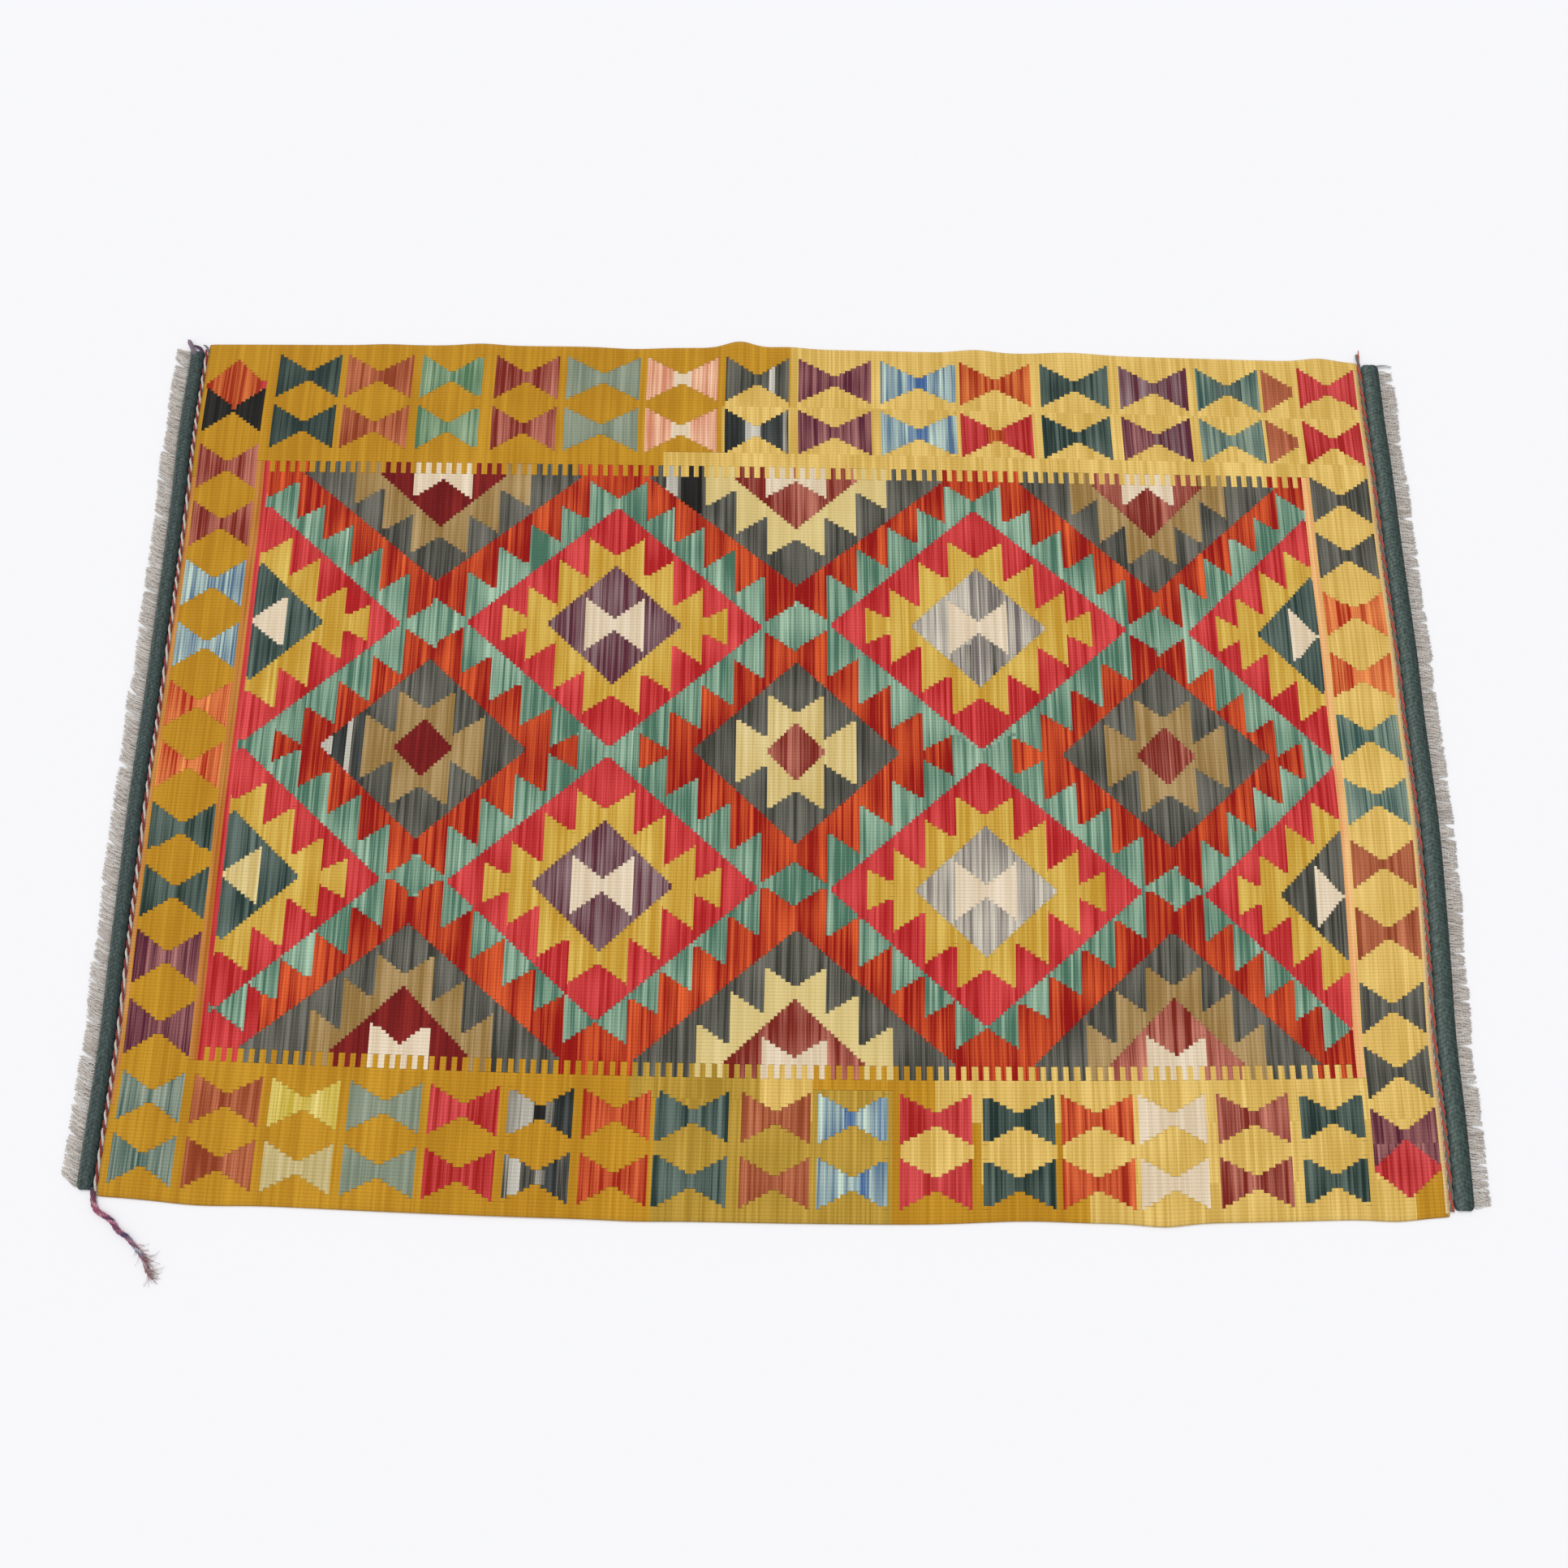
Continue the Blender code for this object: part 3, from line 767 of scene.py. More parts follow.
def build_twined_line(side, material, rng):
    """Two strands that wind round each other in a helix along the cloth's end, at an uneven pitch."""
    near, far = TWINE_TIPS[side]
    y = np.linspace(near, far, int((far - near) / TWINE_STEP))
    wander = np.cumsum(rng.normal(0.0, TWINE_DRIFT, y.size)) + TWINE_SWAY * np.sin(y * TWINE_SWAY_RATE)
    turn = 2.0 * math.pi * (y - near) / TWINE_PITCH[side] + wander
    paths, tints = [], []
    for strand, tint in enumerate(TWINE_TINTS[side]):
        phase = turn + math.pi * strand
        x = end_line(side, y, SEAM_GAP + TWINE_RADIUS) + TWINE_ORBIT * np.cos(phase)
        z = TWINE_RADIUS + (TWINE_RADIUS - TWINE_STRAND) * np.sin(phase)
        paths.append(np.stack([x, y, z], -1))
        tints.append(rng.uniform(0.9, 1.1, (y.size, 1)) * display(tint))
    radii = np.full((2, y.size), TWINE_STRAND)
    return build_yarns(f"twined_line_{side}_yarn", np.array(paths), radii, 8, np.array(tints), material)


BAND_TIPS = (-0.5105, 0.5095)
BAND_STEP = 0.0013
BAND_ACROSS = 22             # points across the top
BAND_EDGE = 0.35 * BAND_BASE  # height at which the visible top meets the underside
BAND_SQUARE = 7              # how squarely the top falls away to its edges
BAND_LINE = 0.14             # width of the line between the ridges, as a share of half the band
BAND_WRAP, BAND_WRAP_PITCH, BAND_WRAP_LEAN = 0.00055, 0.0048, 0.0060
BAND_WRAP_SUNK = 0.7         # how much of a wrap's height lies under the band's own surface
BAND_TAPER, BAND_TIP_SIZE = 0.006, 0.70
BAND_SOLE, BAND_SOLE_HEIGHT = 0.6, 0.0001  # half the underside, as a share of half the band, and its height
# Each band's colours from its inner side (-1) to its outer side (1)
BAND_STOPS = (-1.0, -0.5, 0.0, 0.5, 1.0)
BAND_COLOURS = {
    "left": ((40, 50, 50), (52, 64, 62), (72, 84, 82), (66, 78, 76), (90, 100, 96)),
    "right": ((62, 74, 72), (88, 100, 96), (72, 86, 82), (54, 68, 66), (44, 56, 54)),
}


def build_band(side, material):
    """The plaited end band: a flat underside and two crowned ridges, with slanting wraps that lean both ways.

    Its crown is the root of 1 - |s| to the power BAND_SQUARE, where s runs from -1 to 1 across the band.
    """
    width, (near, far) = BAND_WIDTH[side], BAND_TIPS
    y = np.linspace(near, far, int((far - near) / BAND_STEP))[:, None]
    s = np.sin(np.linspace(-0.5, 0.5, BAND_ACROSS) * math.pi)
    crown = (1.0 - np.abs(s) ** BAND_SQUARE) ** 0.5
    dip = (BAND_RIDGE - BAND_VALLEY) * np.exp(-((s / BAND_LINE) ** 2))
    height = BAND_EDGE + (BAND_RIDGE - BAND_EDGE) * crown - dip
    lean = (y + BAND_WRAP_LEAN * np.abs(s)) / BAND_WRAP_PITCH
    wraps = BAND_WRAP * (np.abs(np.sin(math.pi * lean)) - BAND_WRAP_SUNK) * crown
    taper = np.clip(np.minimum(y - near, far - y) / BAND_TAPER, 0.0, 1.0) ** 0.5
    thin = BAND_TIP_SIZE + (1.0 - BAND_TIP_SIZE) * taper
    z = (height + wraps) * thin
    sole = np.array([BAND_SOLE, -BAND_SOLE])
    place = np.broadcast_to(np.concatenate([s, sole]), (len(y), BAND_ACROSS + 2))
    middle = end_line(side, y, 2.0 * SEAM_GAP + 2.0 * TWINE_RADIUS + width / 2.0)
    x = middle + OUTWARD[side] * place * (width / 2.0) * thin
    z = np.concatenate([z, np.full((len(y), 2), BAND_SOLE_HEIGHT)], axis=1)
    along = np.broadcast_to(y, place.shape)
    number = np.arange(place.size).reshape(place.shape)
    after = np.roll(number, -1, axis=1)
    quads = np.stack([number[:-1], after[:-1], after[1:], number[1:]], -1).reshape(-1, 4)
    caps = [number[0, ::-1].tolist(), number[-1].tolist()]
    if OUTWARD[side] < 0:
        quads, caps = quads[:, ::-1], [c[::-1] for c in caps]
    points = np.stack([x, along, z], -1)
    piece = make_object(f"end_band_{side}_plait", points, quads.tolist() + caps, material)
    give_tint(piece, fade(place, BAND_STOPS, BAND_COLOURS[side]))
    give(piece, "plait", "FLOAT_VECTOR", "POINT", np.stack([along, place, np.zeros_like(place)], -1))
    return piece


FRINGE_TIPS = {"left": (-0.5060, 0.5080), "right": (-0.5060, 0.4980)}
FRINGE_SLANT = {"left": 0.0085, "right": -0.0015}
FRINGE_LENGTH = {"left": 0.0190, "right": 0.0178}
FRINGE_YARNS, FRINGE_RINGS, FRINGE_SIDES = 1500, 6, 4
FRINGE_SCATTER = 0.0006      # how far a yarn stands from its even place
FRINGE_BUNCHES = 50
FRINGE_BEFORE = 0.004        # how far before the near tip the first bunch starts
FRINGE_BUNCH_WIDTH = (0.014, 0.070)
FRINGE_PART, FRINGE_PART_REACH = 0.0034, 0.0050  # how far yarns lean away from a parting, and how near it
FRINGE_CUT = (0.86, 1.05)    # a yarn's length beside its bunch's
FRINGE_SWAY, FRINGE_SWAY_RATE = 0.0012, 170.0
FRINGE_STRAY, FRINGE_CURL = 0.0011, 0.0009
FRINGE_HIDDEN = 0.0012       # length of the yarns inside the band's outer side
FRINGE_LIFT, FRINGE_LOW, FRINGE_TIP_LIFT = (0.0006, 0.0026), 0.0009, 0.0008
FRINGE_RADIUS = (0.00055, 0.00090)
FRINGE_TINTS = ((218, 209, 200), (231, 224, 217), (240, 236, 231), (205, 195, 185))
FRINGE_TINT_SHARES = (0.34, 0.32, 0.18, 0.16)


def build_fringe(side, material, rng):
    """The cut warp ends: short yarns from the band's outer side, slanting along it and leaning from partings.

    A yarn leans by FRINGE_PART * (exp(-distance to the parting before) - exp(-distance to the next)).
    """
    near, far = FRINGE_TIPS[side]
    y = np.linspace(near, far, FRINGE_YARNS) + rng.normal(0.0, FRINGE_SCATTER, FRINGE_YARNS)
    widths = rng.uniform(*FRINGE_BUNCH_WIDTH, FRINGE_BUNCHES)
    partings = near - FRINGE_BEFORE + np.concatenate([[0.0], np.cumsum(widths)])
    bunch = np.searchsorted(partings, y) - 1
    bunch_length = 1.0 + 0.05 * np.sin(1.7 * bunch) + 0.04 * np.sin(y * 60.0)
    length = FRINGE_LENGTH[side] * bunch_length * rng.uniform(*FRINGE_CUT, y.size)
    before = np.exp(-(y - partings[bunch]) / FRINGE_PART_REACH)
    after = np.exp(-(partings[bunch + 1] - y) / FRINGE_PART_REACH)
    sway = FRINGE_SWAY * np.sin(y * FRINGE_SWAY_RATE)
    lean = FRINGE_PART * (before - after) + sway + rng.normal(0.0, FRINGE_STRAY, y.size)
    t = np.linspace(0.0, 1.0, FRINGE_RINGS)[None, :]
    root = 3.0 * SEAM_GAP + 2.0 * TWINE_RADIUS + BAND_WIDTH[side] - FRINGE_HIDDEN
    curl = rng.normal(0.0, FRINGE_CURL, (y.size, 1)) * np.sin(2.0 * math.pi * t)
    path_y = y[:, None] + (FRINGE_SLANT[side] * bunch_length + lean)[:, None] * t ** 1.3 + curl
    path_x = end_line(side, y[:, None], root + length[:, None] * t)
    lift = rng.uniform(*FRINGE_LIFT, (y.size, 1))
    path_z = FRINGE_LOW + lift * (1.0 - t) + rng.uniform(0.0, FRINGE_TIP_LIFT, (y.size, 1)) * t
    radius = rng.uniform(*FRINGE_RADIUS, (y.size, 1)) * (1.0 - 0.35 * t ** 2)
    paths = np.stack([path_x, path_y, path_z], -1)
    tint = display(FRINGE_TINTS)[rng.choice(len(FRINGE_TINTS), y.size, p=FRINGE_TINT_SHARES)]
    # painted shade: each yarn is darker at its root beside the band and lighter towards its tip
    tints = tint[:, None, :] * (0.80 + 0.24 * t[..., None])
    return build_yarns(f"fringe_{side}_yarns", paths, radius, FRINGE_SIDES, tints, material)


# The route of the yarn tail on the floor, from where it leaves the twined line to its tip
Waypoint = namedtuple("Waypoint", "x y")
TAIL_ROUTE = (
    Waypoint(-0.7352, -0.5075),
    Waypoint(-0.7333, -0.5145),
    Waypoint(-0.7318, -0.5235),
    Waypoint(-0.7265, -0.5320),
    Waypoint(-0.7170, -0.5372),
    Waypoint(-0.7085, -0.5430),
    Waypoint(-0.7015, -0.5515),
    Waypoint(-0.6915, -0.5575),
    Waypoint(-0.6830, -0.5655),
    Waypoint(-0.6745, -0.5745),
    Waypoint(-0.6685, -0.5835),
    Waypoint(-0.6645, -0.5935),
)
TAIL_RADIUS = 0.0025
TAIL_STEPS = 10              # points in each stretch of the route
TAIL_STRAND, TAIL_ORBIT, TAIL_PLAIT_PITCH = 0.00165, 0.00140, 0.0180
TAIL_THINNING = 0.50         # how much thinner the plait is at its tip
# Each strand's colours at even steps from the corner to the tip
TAIL_TINTS = (
    ((66, 66, 82), (178, 98, 118), (84, 64, 100), (190, 116, 138), (120, 130, 150), (170, 120, 122)),
    ((76, 80, 88), (206, 152, 166), (144, 76, 100), (98, 80, 108), (198, 204, 212), (192, 148, 146)),
    ((96, 70, 84), (158, 88, 116), (196, 132, 150), (76, 68, 102), (168, 112, 128), (140, 94, 100)),
)
FRAY_FIBRES, FRAY_RINGS = 110, 6
FRAY_ROOTS = 30              # how many points of the route, back from its tip, fibres come out of
FRAY_LENGTH, FRAY_RADIUS = (0.006, 0.019), 0.00024
FRAY_TURN, FRAY_BEND = (0.38, 0.25), (0.15, 0.35)  # mean and spread, in radians
FRAY_TINTS = ((196, 132, 128), (222, 178, 176), (160, 108, 112), (228, 204, 202))


def smooth_route(route, steps):
    """The Catmull-Rom curve through the route: each stretch is a cubic of its four nearest points."""
    p = np.array([route[0], *route, route[-1]], float)
    t = (np.arange(steps) / steps)[None, :, None]
    before, start, stop, after = (p[k:len(p) - 3 + k, None, :] for k in range(4))
    square = (2.0 * before - 5.0 * start + 4.0 * stop - after) * t ** 2
    cube = (3.0 * start - before - 3.0 * stop + after) * t ** 3
    curve = 0.5 * (2.0 * start + (stop - before) * t + square + cube)
    return np.concatenate([curve.reshape(-1, 2), p[-1:]])


def build_tail(line, along, material, rng):
    """The plaited yarn tail: three strands wound round the smooth route, thinner towards its tip."""
    ahead = unit_vectors(np.gradient(line, axis=0))
    beside = np.stack([ahead[:, 1], -ahead[:, 0]], -1)
    thin = 1.0 - TAIL_THINNING * (along / along[-1]) ** 3
    stops = np.linspace(0.0, along[-1], len(TAIL_TINTS[0]))
    paths, tints = [], []
    for strand, tint in enumerate(TAIL_TINTS):
        phase = 2.0 * math.pi * (along / TAIL_PLAIT_PITCH + strand / 3.0)
        flat = line + (TAIL_ORBIT * thin * np.cos(phase))[:, None] * beside
        z = TAIL_RADIUS + (TAIL_RADIUS - TAIL_STRAND) * thin * np.sin(phase)
        paths.append(np.concatenate([flat, z[:, None]], axis=1))
        tints.append(rng.uniform(0.85, 1.15, (along.size, 1)) * fade(along, stops, tint))
    radii = np.broadcast_to(TAIL_STRAND * thin, (3, along.size))
    return build_yarns("corner_tail_plait", np.array(paths), radii, 8, np.array(tints), material)


def build_fray(line, material, rng):
    """The tail's loose fibres: each leaves the route near its tip at its own turn, and bends as it goes."""
    ahead = unit_vectors(np.gradient(line, axis=0))
    root = len(line) - 2 - (FRAY_ROOTS * rng.random(FRAY_FIBRES) ** 2).astype(int)
    start, heading = line[root].T[:, :, None], ahead[root].T[:, :, None]
    turn = rng.normal(*FRAY_TURN, FRAY_FIBRES)
    length = rng.uniform(*FRAY_LENGTH, FRAY_FIBRES)
    t = np.linspace(0.0, 1.0, FRAY_RINGS)
    bend = turn[:, None] + rng.normal(*FRAY_BEND, (FRAY_FIBRES, 1)) * t
    cos, sin = np.cos(bend), np.sin(bend)
    x = start[0] + length[:, None] * t * (heading[0] * cos - heading[1] * sin)
    y = start[1] + length[:, None] * t * (heading[0] * sin + heading[1] * cos)
    z = TAIL_RADIUS * (1.0 - 0.7 * t) + rng.uniform(0.0, 0.0008, (FRAY_FIBRES, 1))
    tint = display(FRAY_TINTS)[rng.integers(0, len(FRAY_TINTS), FRAY_FIBRES)]
    tints = np.repeat(tint[:, None, :], FRAY_RINGS, axis=1)
    radii = np.broadcast_to(FRAY_RADIUS * (1.0 - 0.6 * t), x.shape)
    return build_yarns("corner_tail_fray", np.stack([x, y, z], -1), radii, 4, tints, material)


# Bundles of loose yarn ends at the far corners: the way each takes, how many yarns, their spread and radius
Loose = namedtuple("Loose", "start bend tip yarns spread radius tint")
LOOSE_ENDS = (
    Loose(
        start=(-0.7535, 0.5040, 0.0026), bend=(-0.7572, 0.5140, 0.0036), tip=(-0.7632, 0.5240, 0.0022),
        yarns=14, spread=0.0026, radius=0.00110, tint=(150, 132, 148),
    ),
    Loose(
        start=(-0.7450, 0.5060, 0.0026), bend=(-0.7480, 0.5125, 0.0034), tip=(-0.7560, 0.5165, 0.0026),
        yarns=8, spread=0.0018, radius=0.00120, tint=(92, 66, 92),
    ),
    Loose(
        start=(-0.7370, 0.5080, 0.0024), bend=(-0.7395, 0.5150, 0.0028), tip=(-0.7440, 0.5185, 0.0020),
        yarns=4, spread=0.0012, radius=0.00100, tint=(152, 140, 150),
    ),
    Loose(
        start=(0.7255, 0.5130, 0.0028), bend=(0.7258, 0.5215, 0.0026), tip=(0.7270, 0.5300, 0.0016),
        yarns=5, spread=0.0008, radius=0.00060, tint=(206, 110, 112),
    ),
    Loose(
        start=(0.7470, 0.5075, 0.0022), bend=(0.7570, 0.5085, 0.0022), tip=(0.7665, 0.5075, 0.0012),
        yarns=6, spread=0.0016, radius=0.00040, tint=(176, 180, 176),
    ),
)


def build_loose_ends(material, rng):
    """Bundles of yarn ends: each yarn is a quadratic curve through its start, bend and thinner tip."""
    each = [end for end in LOOSE_ENDS for _ in range(end.yarns)]
    t = np.linspace(0.0, 1.0, 9)[None, :, None]
    keys = ("start", "bend", "tip")
    start, bend, tip = (np.array([getattr(end, key) for end in each])[:, None, :] for key in keys)
    spread = np.array([end.spread for end in each])[:, None, None]
    fan = rng.uniform(-1.0, 1.0, start.shape) * spread * (1.0, 1.0, 0.3)
    control = 2.0 * bend - 0.5 * start - 0.5 * tip
    from_start, to_tip = (1.0 - t) ** 2 * (start + 0.7 * fan), t ** 2 * (tip + 0.8 * fan)
    paths = from_start + 2.0 * t * (1.0 - t) * (control + fan) + to_tip
    radii = np.array([end.radius for end in each])[:, None] * (1.0 - 0.55 * t[..., 0])
    paths[..., 2] = np.maximum(paths[..., 2], radii)
    tints = display([end.tint for end in each])[:, None, :] * rng.uniform(0.75, 1.3, (len(each), 1, 1))
    return build_yarns("loose_yarn_ends", paths, radii, 6, np.broadcast_to(tints, paths.shape), material)


# MATERIALS
class Shader:
    """A material's nodes, with short ways to add a node and to link or set its inputs."""

    def __init__(self, name):
        self.material = bpy.data.materials.new(name)
        self.material.use_nodes = True
        self.tree = self.material.node_tree
        self.principled = self.tree.nodes["Principled BSDF"]

    def node(self, kind, settings=None, **inputs):
        """Add a node and return its outputs.

        Settings are its own fields. Inputs are values, or sockets to link from, under the name of the
        node's socket, or under i and the socket's number.
        """
        made = self.tree.nodes.new(kind)
        for key, value in (settings or {}).items():
            setattr(made, key, value)
        for key, value in inputs.items():
            socket = made.inputs[int(key[1:]) if key[1:].isdigit() else key]
            if isinstance(value, bpy.types.NodeSocket):
                self.tree.links.new(value, socket)
            else:
                socket.default_value = value
        return made.outputs

    def math(self, operation, *values):
        """The result of a math operation on one, two or three values."""
        values = {f"i{number}": value for number, value in enumerate(values)}
        return self.node("ShaderNodeMath", {"operation": operation}, **values)[0]

    def times(self, a, b):
        """a * b."""
        return self.math("MULTIPLY", a, b)

    def line(self, value, slope, start):
        """value * slope + start."""
        return self.math("MULTIPLY_ADD", value, slope, start)

    def ridges(self, value):
        """A row of round ridges one unit apart: the size of sin(pi * value)."""
        return self.math("ABSOLUTE", self.math("SINE", self.times(value, math.pi)))

    def attribute(self, name):
        """The outputs of what the mesh carries under that name."""
        return self.node("ShaderNodeAttribute", {"attribute_name": name})

    def split(self, vector):
        """The first two parts of a vector."""
        return self.node("ShaderNodeSeparateXYZ", None, i0=vector)[:2]

    def noise(self, point, scale, detail, roughness=0.5):
        """Noise from 0 to 1 about a half."""
        inputs = {"Vector": point, "Scale": scale, "Detail": detail, "Roughness": roughness}
        return self.node("ShaderNodeTexNoise", None, **inputs)["Fac"]

    def mix_value(self, factor, a, b):
        """Value a giving way to value b as the factor rises."""
        return self.node("ShaderNodeMix", None, i0=factor, i2=a, i3=b)[0]

    def mix_colour(self, factor, a, b, blend="MIX"):
        """Colour a giving way to colour b, or blended with it, as the factor rises."""
        settings = {"data_type": "RGBA", "blend_type": blend, "clamp_factor": False}
        return self.node("ShaderNodeMix", settings, i0=factor, i6=a, i7=b)[2]

    def finish(self, colour, tone, height, distance, roughness, sheen):
        """The wool: its colour times its tone, which holds painted shade and the wool's own uneven tone,
        bumps of a height and distance, its roughness and sheen.
        """
        grey = self.node("ShaderNodeCombineColor", None, Red=tone, Green=tone, Blue=tone)[0]
        bump = self.node("ShaderNodeBump", None, Strength=1.0, Distance=distance, Height=height)
        inputs = self.principled.inputs
        self.tree.links.new(self.mix_colour(1.0, colour, grey, "MULTIPLY"), inputs["Base Color"])
        self.tree.links.new(bump["Normal"], inputs["Normal"])
        inputs["Roughness"].default_value = roughness
        inputs["Specular IOR Level"].default_value = 0.15
        inputs["Sheen Weight"].default_value = sheen
        inputs["Sheen Roughness"].default_value = 0.5
        return self.material


PICK_PITCH = 1.15 * MM       # distance between weft picks
LIGHTEST = 1.40              # how far past its light dye lot the lightest streaks of a wool go
SEED_STRIDE = 61.0           # how far apart in the noise two motifs lie, for a whole step of seed
SLIT_WIDTH = 0.80            # how near a row's edge a slit starts, as a share of half the row
SLIT_LEAST = 0.45            # share of a cell's edge that has to part two wools for a slit to show
# how much painted shade darkens the wool in a slit and in the groove between two ribs
SLIT_PAINTED_SHADE, GROOVE_PAINTED_SHADE = 0.70, 0.10
RIB_ROUND = 0.92             # how nearly a rib is a half circle
FUZZ_SCALE = 900.0

# The streaks of a wool, drawn out along the wefts: how often they change for each metre along the warps
# and along the wefts, their detail, where in the noise they lie, and how strong they are
Streak = namedtuple("Streak", "per_u per_v detail offset strength")
STREAKS = (
    Streak(200.0, 1.6, 2.0, 0.0, 3.2),
    Streak(620.0, 9.0, 1.0, 7.0, 1.6),
    Streak(18.0, 12.0, 1.0, 19.0, 1.4),
)


def tapestry_wool():
    """Weft-faced wool: streaks of two dye lots along the wefts, ribs over the warps, picks, and painted shade
    in the slits and in the grooves between ribs.

    A rib is the root of 1 - RIB_ROUND * the square of the distance from its middle.
    """
    wool = Shader("tapestry_wool_weave")
    weave = wool.attribute("weave")["Vector"]
    u, v = wool.split(weave)
    past = wool.math("GREATER_THAN", u, wool.attribute("turn")["Fac"])
    deeps = wool.attribute("first_deep"), wool.attribute("second_deep")
    lights = wool.attribute("first_light"), wool.attribute("second_light")
    deep = wool.mix_colour(past, *(d["Color"] for d in deeps))
    light = wool.mix_colour(past, *(d["Color"] for d in lights))
    seed = wool.mix_value(past, *(d["Alpha"] for d in deeps))
    level = wool.mix_value(past, *(d["Alpha"] for d in lights))
    for streak in STREAKS:
        offset = wool.line(seed, SEED_STRIDE, streak.offset)
        scaled = {"X": wool.times(u, streak.per_u), "Y": wool.times(v, streak.per_v), "Z": offset}
        noise = wool.noise(wool.node("ShaderNodeCombineXYZ", None, **scaled)[0], 1.0, streak.detail, 0.62)
        level = wool.line(wool.math("SUBTRACT", noise, 0.5), streak.strength, level)
    level = wool.math("MINIMUM", wool.math("MAXIMUM", level, 0.0), LIGHTEST)

    row = wool.line(v, 1.0 / (WARP_PITCH * MM), -CLOTH_NEAR / WARP_PITCH)
    from_middle = wool.math("ABSOLUTE", wool.line(wool.math("FRACT", row), 2.0, -1.0))
    rib = wool.math("SQRT", wool.line(wool.math("POWER", from_middle, 2.0), -RIB_ROUND, 1.0))
    staggered = wool.line(u, 1.0 / PICK_PITCH, wool.times(wool.math("FLOOR", row), 0.5))
    pick = wool.math("SINE", wool.times(staggered, 2.0 * math.pi))
    fuzz = wool.noise(weave, FUZZ_SCALE, 2.0)
    height = wool.math("ADD", rib, wool.line(pick, 0.12, wool.times(fuzz, 0.35)))

    slit_range = {"i0": from_middle, "i1": SLIT_WIDTH, "i2": 1.0, "i3": 0.0, "i4": 1.0}
    near_edge = wool.node("ShaderNodeMapRange", None, **slit_range)[0]
    gap = wool.times(near_edge, wool.math("GREATER_THAN", wool.attribute("slit")["Fac"], SLIT_LEAST))
    # painted shade: darker in the groove at each row's edge, and much darker in a slit where two wools part;
    # the fuzz is the wool's own uneven tone
    groove = wool.line(wool.math("POWER", from_middle, 4.0), -GROOVE_PAINTED_SHADE, 1.0)
    dark = wool.times(groove, wool.line(gap, -SLIT_PAINTED_SHADE, 1.0))
    tone = wool.times(dark, wool.line(fuzz, 0.22, 0.90))
    return wool.finish(wool.mix_colour(level, deep, light), tone, height, 0.0005, 0.92, 0.06)


def spun_yarn(name, ply, plies, ply_groove_shade):
    """Spun wool: the piece's tint, with painted shade in the grooves between its plies, which wind round it.
    """
    wool = Shader(name)
    along, turn = wool.split(wool.attribute("yarn")["Vector"])
    groove = wool.ridges(wool.line(along, 1.0 / ply, wool.times(turn, plies)))
    fuzz = wool.noise(wool.node("ShaderNodeTexCoord")["Object"], 700.0, 3.0)
    # painted shade: the yarn is darker in the grooves between its plies; the fuzz is its own uneven tone
    tone = wool.times(wool.line(groove, ply_groove_shade, 1.0 - ply_groove_shade), wool.line(fuzz, 0.5, 0.75))
    height = wool.line(fuzz, 0.5, groove)
    return wool.finish(wool.attribute("tint")["Color"], tone, height, 0.0003, 0.95, 0.08)


def band_wool():
    """The bands' wool: its tint across the band, with painted shade between its slanting threads, and fine
    streaks along it.
    """
    wool = Shader("band_wool_plait")
    y, s = wool.split(wool.attribute("plait")["Vector"])
    wraps = wool.times(y, 1.0 / BAND_WRAP_PITCH)
    thread = wool.ridges(wool.line(wool.math("ABSOLUTE", s), BAND_WRAP_LEAN / BAND_WRAP_PITCH, wraps))
    scaled = {"X": wool.times(s, 4.0), "Y": wool.times(y, 130.0), "Z": 0.0}
    streak = wool.noise(wool.node("ShaderNodeCombineXYZ", None, **scaled)[0], 1.0, 3.0)
    fuzz = wool.noise(wool.node("ShaderNodeTexCoord")["Object"], 800.0, 2.0)
    # painted shade between the slanting threads, times the streaks and fuzz that are the wool's own uneven
    # tone
    tone = wool.times(wool.line(thread, 0.30, 0.78), wool.line(streak, 2.2, -0.05))
    tone = wool.times(tone, wool.line(fuzz, 1.1, 0.50))
    height = wool.math("ADD", thread, fuzz)
    return wool.finish(wool.attribute("tint")["Color"], tone, height, 0.0004, 0.95, 0.05)


# SCENE
FLOOR_SIZE, FLOOR_COLOUR = 40.0, (250, 250, 253)
ROOM_LIGHT, WINDOW_LIGHT = 0.74, 0.30 * math.pi
WINDOW_SPREAD = math.radians(25.0)
WINDOW_TURN = (math.radians(-28.0), math.radians(-22.0), 0.0)
CAMERA_PLACE = (0.0126, -0.4075, 1.4321)
CAMERA_TURN = (14.09, 0.11, -0.83)  # tilt, pan and roll, in degrees
CAMERA_LENS = 29.07


def set_floor():
    """A wide pale floor under the rug."""
    corners = [(x * FLOOR_SIZE, y * FLOOR_SIZE, 0.0) for x, y in ((-1, -1), (1, -1), (1, 1), (-1, 1))]
    mesh = bpy.data.meshes.new("floor")
    mesh.from_pydata(corners, [], [(0, 1, 2, 3)])
    paint = Shader("painted_floor")
    paint.principled.inputs["Base Color"].default_value = (*display(FLOOR_COLOUR), 1.0)
    paint.principled.inputs["Roughness"].default_value = 0.9
    paint.principled.inputs["Specular IOR Level"].default_value = 0.0
    mesh.materials.append(paint.material)
    floor = bpy.data.objects.new("floor", mesh)
    bpy.context.scene.collection.objects.link(floor)


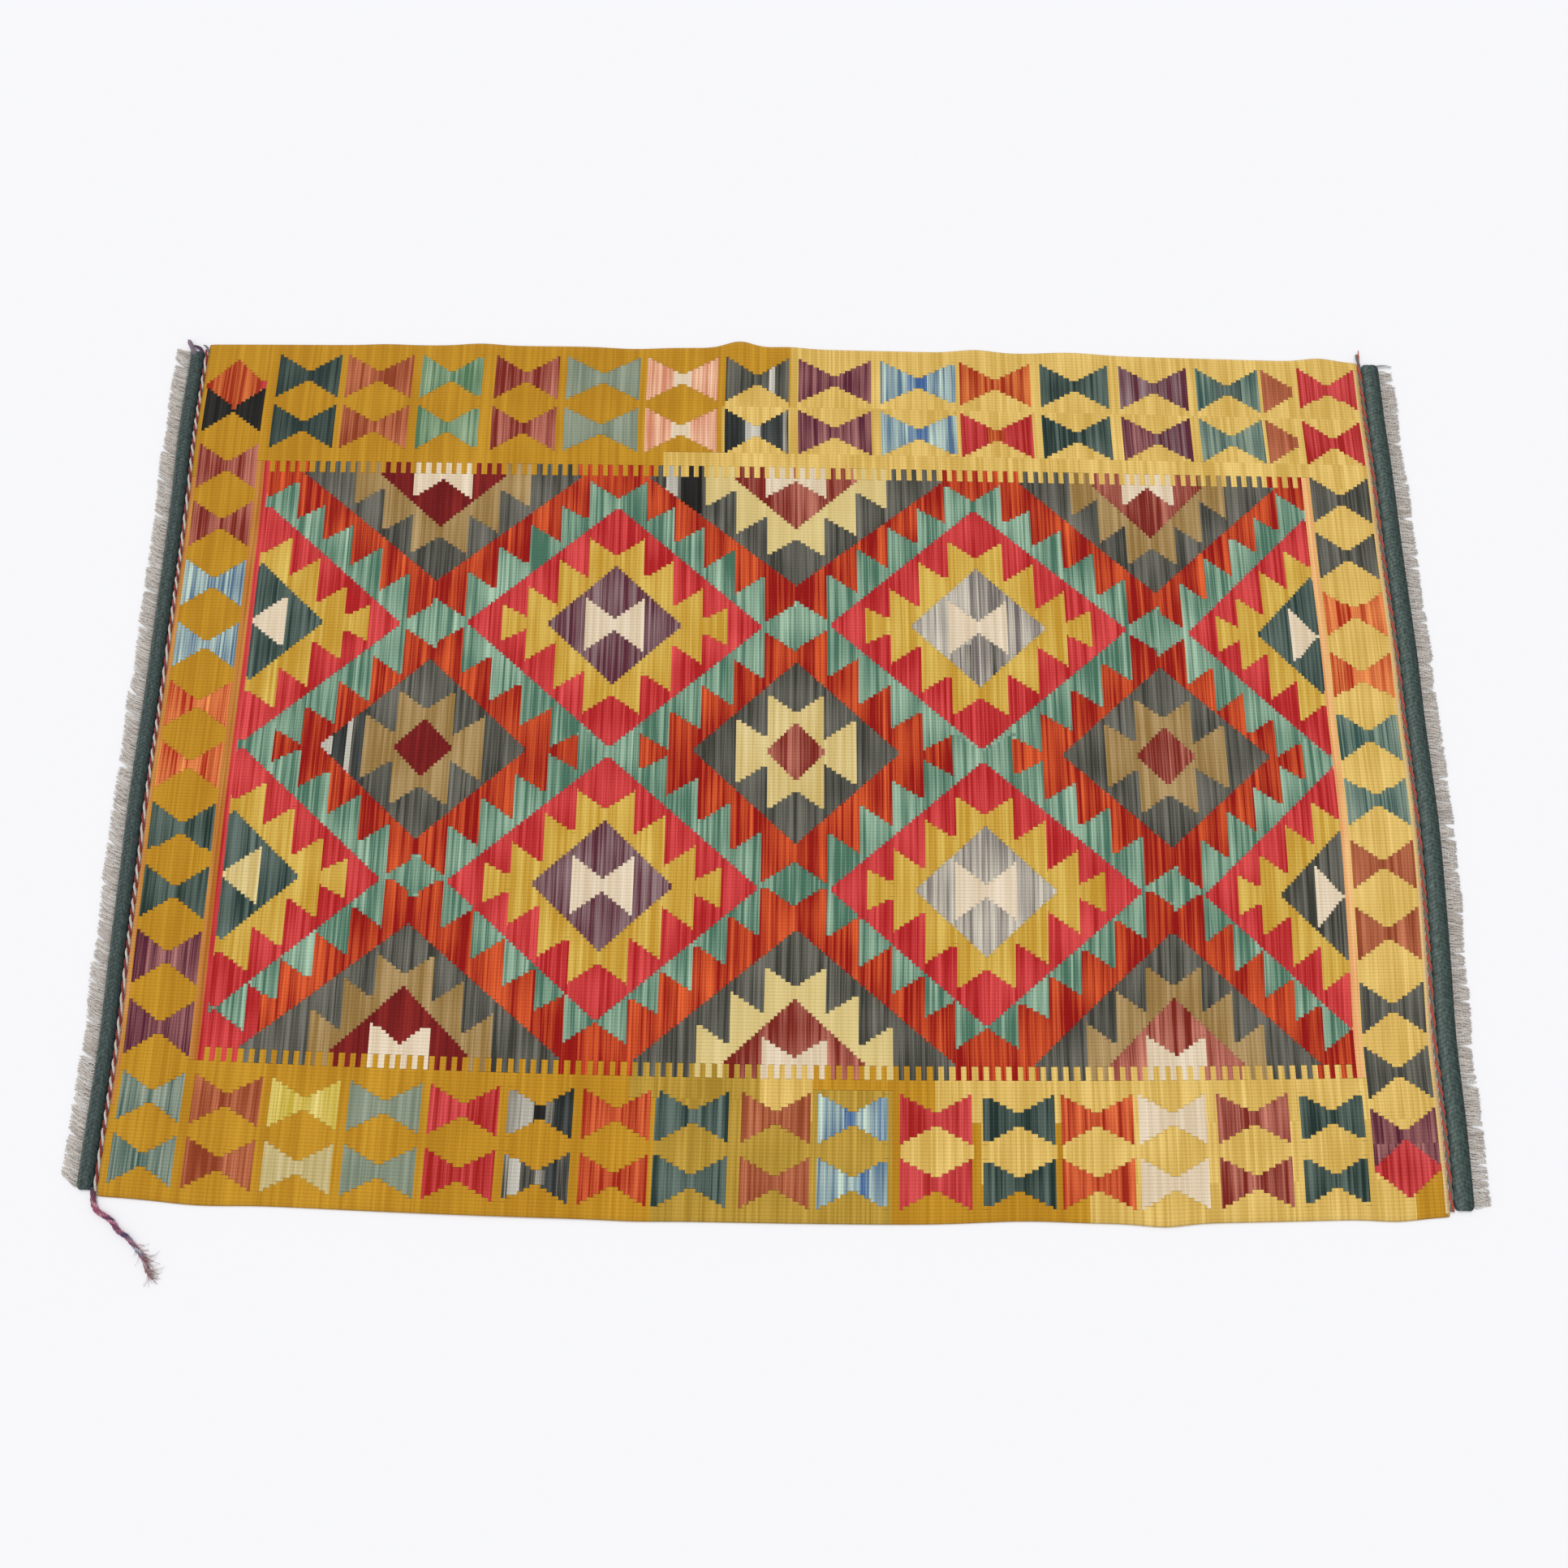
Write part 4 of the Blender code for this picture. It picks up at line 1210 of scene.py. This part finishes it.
def set_light():
    """An even pale room, and a broad soft light from the far left."""
    world = bpy.data.worlds.new("room")
    world.use_nodes = True
    background = world.node_tree.nodes["Background"]
    background.inputs["Color"].default_value = (1.0, 1.0, 1.0, 1.0)
    background.inputs["Strength"].default_value = ROOM_LIGHT
    bpy.context.scene.world = world
    lamp = bpy.data.lights.new("window", "SUN")
    lamp.energy = WINDOW_LIGHT
    lamp.angle = WINDOW_SPREAD
    sun = bpy.data.objects.new("window", lamp)
    sun.rotation_euler = WINDOW_TURN
    bpy.context.scene.collection.objects.link(sun)
    bpy.context.scene.view_settings.view_transform = "Standard"


def set_camera():
    """A camera above the near side, looking down: its tilt, pan and roll are turned in that order."""
    camera = bpy.data.cameras.new("camera")
    camera.sensor_width = 36.0
    camera.lens = CAMERA_LENS
    holder = bpy.data.objects.new("camera", camera)
    holder.location = CAMERA_PLACE
    tilt, pan, roll = (Matrix.Rotation(math.radians(turn), 3, axis) for turn, axis in zip(CAMERA_TURN, "XYZ"))
    right, up, ahead = np.array(tilt @ pan @ roll) * (1.0, 1.0, -1.0)
    basis = np.stack([right, up, -ahead], -1)
    holder.rotation_mode = "QUATERNION"
    holder.rotation_quaternion = Matrix(basis.tolist()).to_quaternion()
    bpy.context.scene.collection.objects.link(holder)
    bpy.context.scene.camera = holder


def main():
    """Build every piece with its material, hide the solid each one replaces, and set the scene."""
    rng = np.random.default_rng(7)
    cloth = build_cloth(weave_chart(), tapestry_wool())
    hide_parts("kilim_body")
    line_yarn = spun_yarn("twined_wool_yarn", 0.0030, 2.0, 0.45)
    fringe_yarn = spun_yarn("warp_yarn_ends", 0.0035, 2.0, 0.25)
    tail_yarn = spun_yarn("tail_yarn_plait", 0.0030, 2.0, 0.45)
    plait = band_wool()
    along = []
    for side in ("left", "right"):
        line = build_twined_line(side, line_yarn, rng)
        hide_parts(f"twined_line_{side}")
        band = build_band(side, plait)
        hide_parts(f"end_band_{side}")
        ends = build_fringe(side, fringe_yarn, rng)
        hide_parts(f"fringe_{side}")
        along += [line, band, ends]
    loose = build_loose_ends(line_yarn, rng)
    middle = smooth_route(TAIL_ROUTE, TAIL_STEPS)
    distance = distance_along(middle)
    tail = build_tail(middle, distance, tail_yarn, rng)
    fray = build_fray(middle, tail_yarn, rng)
    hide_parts("corner_tail")
    set_floor()
    set_light()
    set_camera()


main()
bpy.context.view_layer.update()
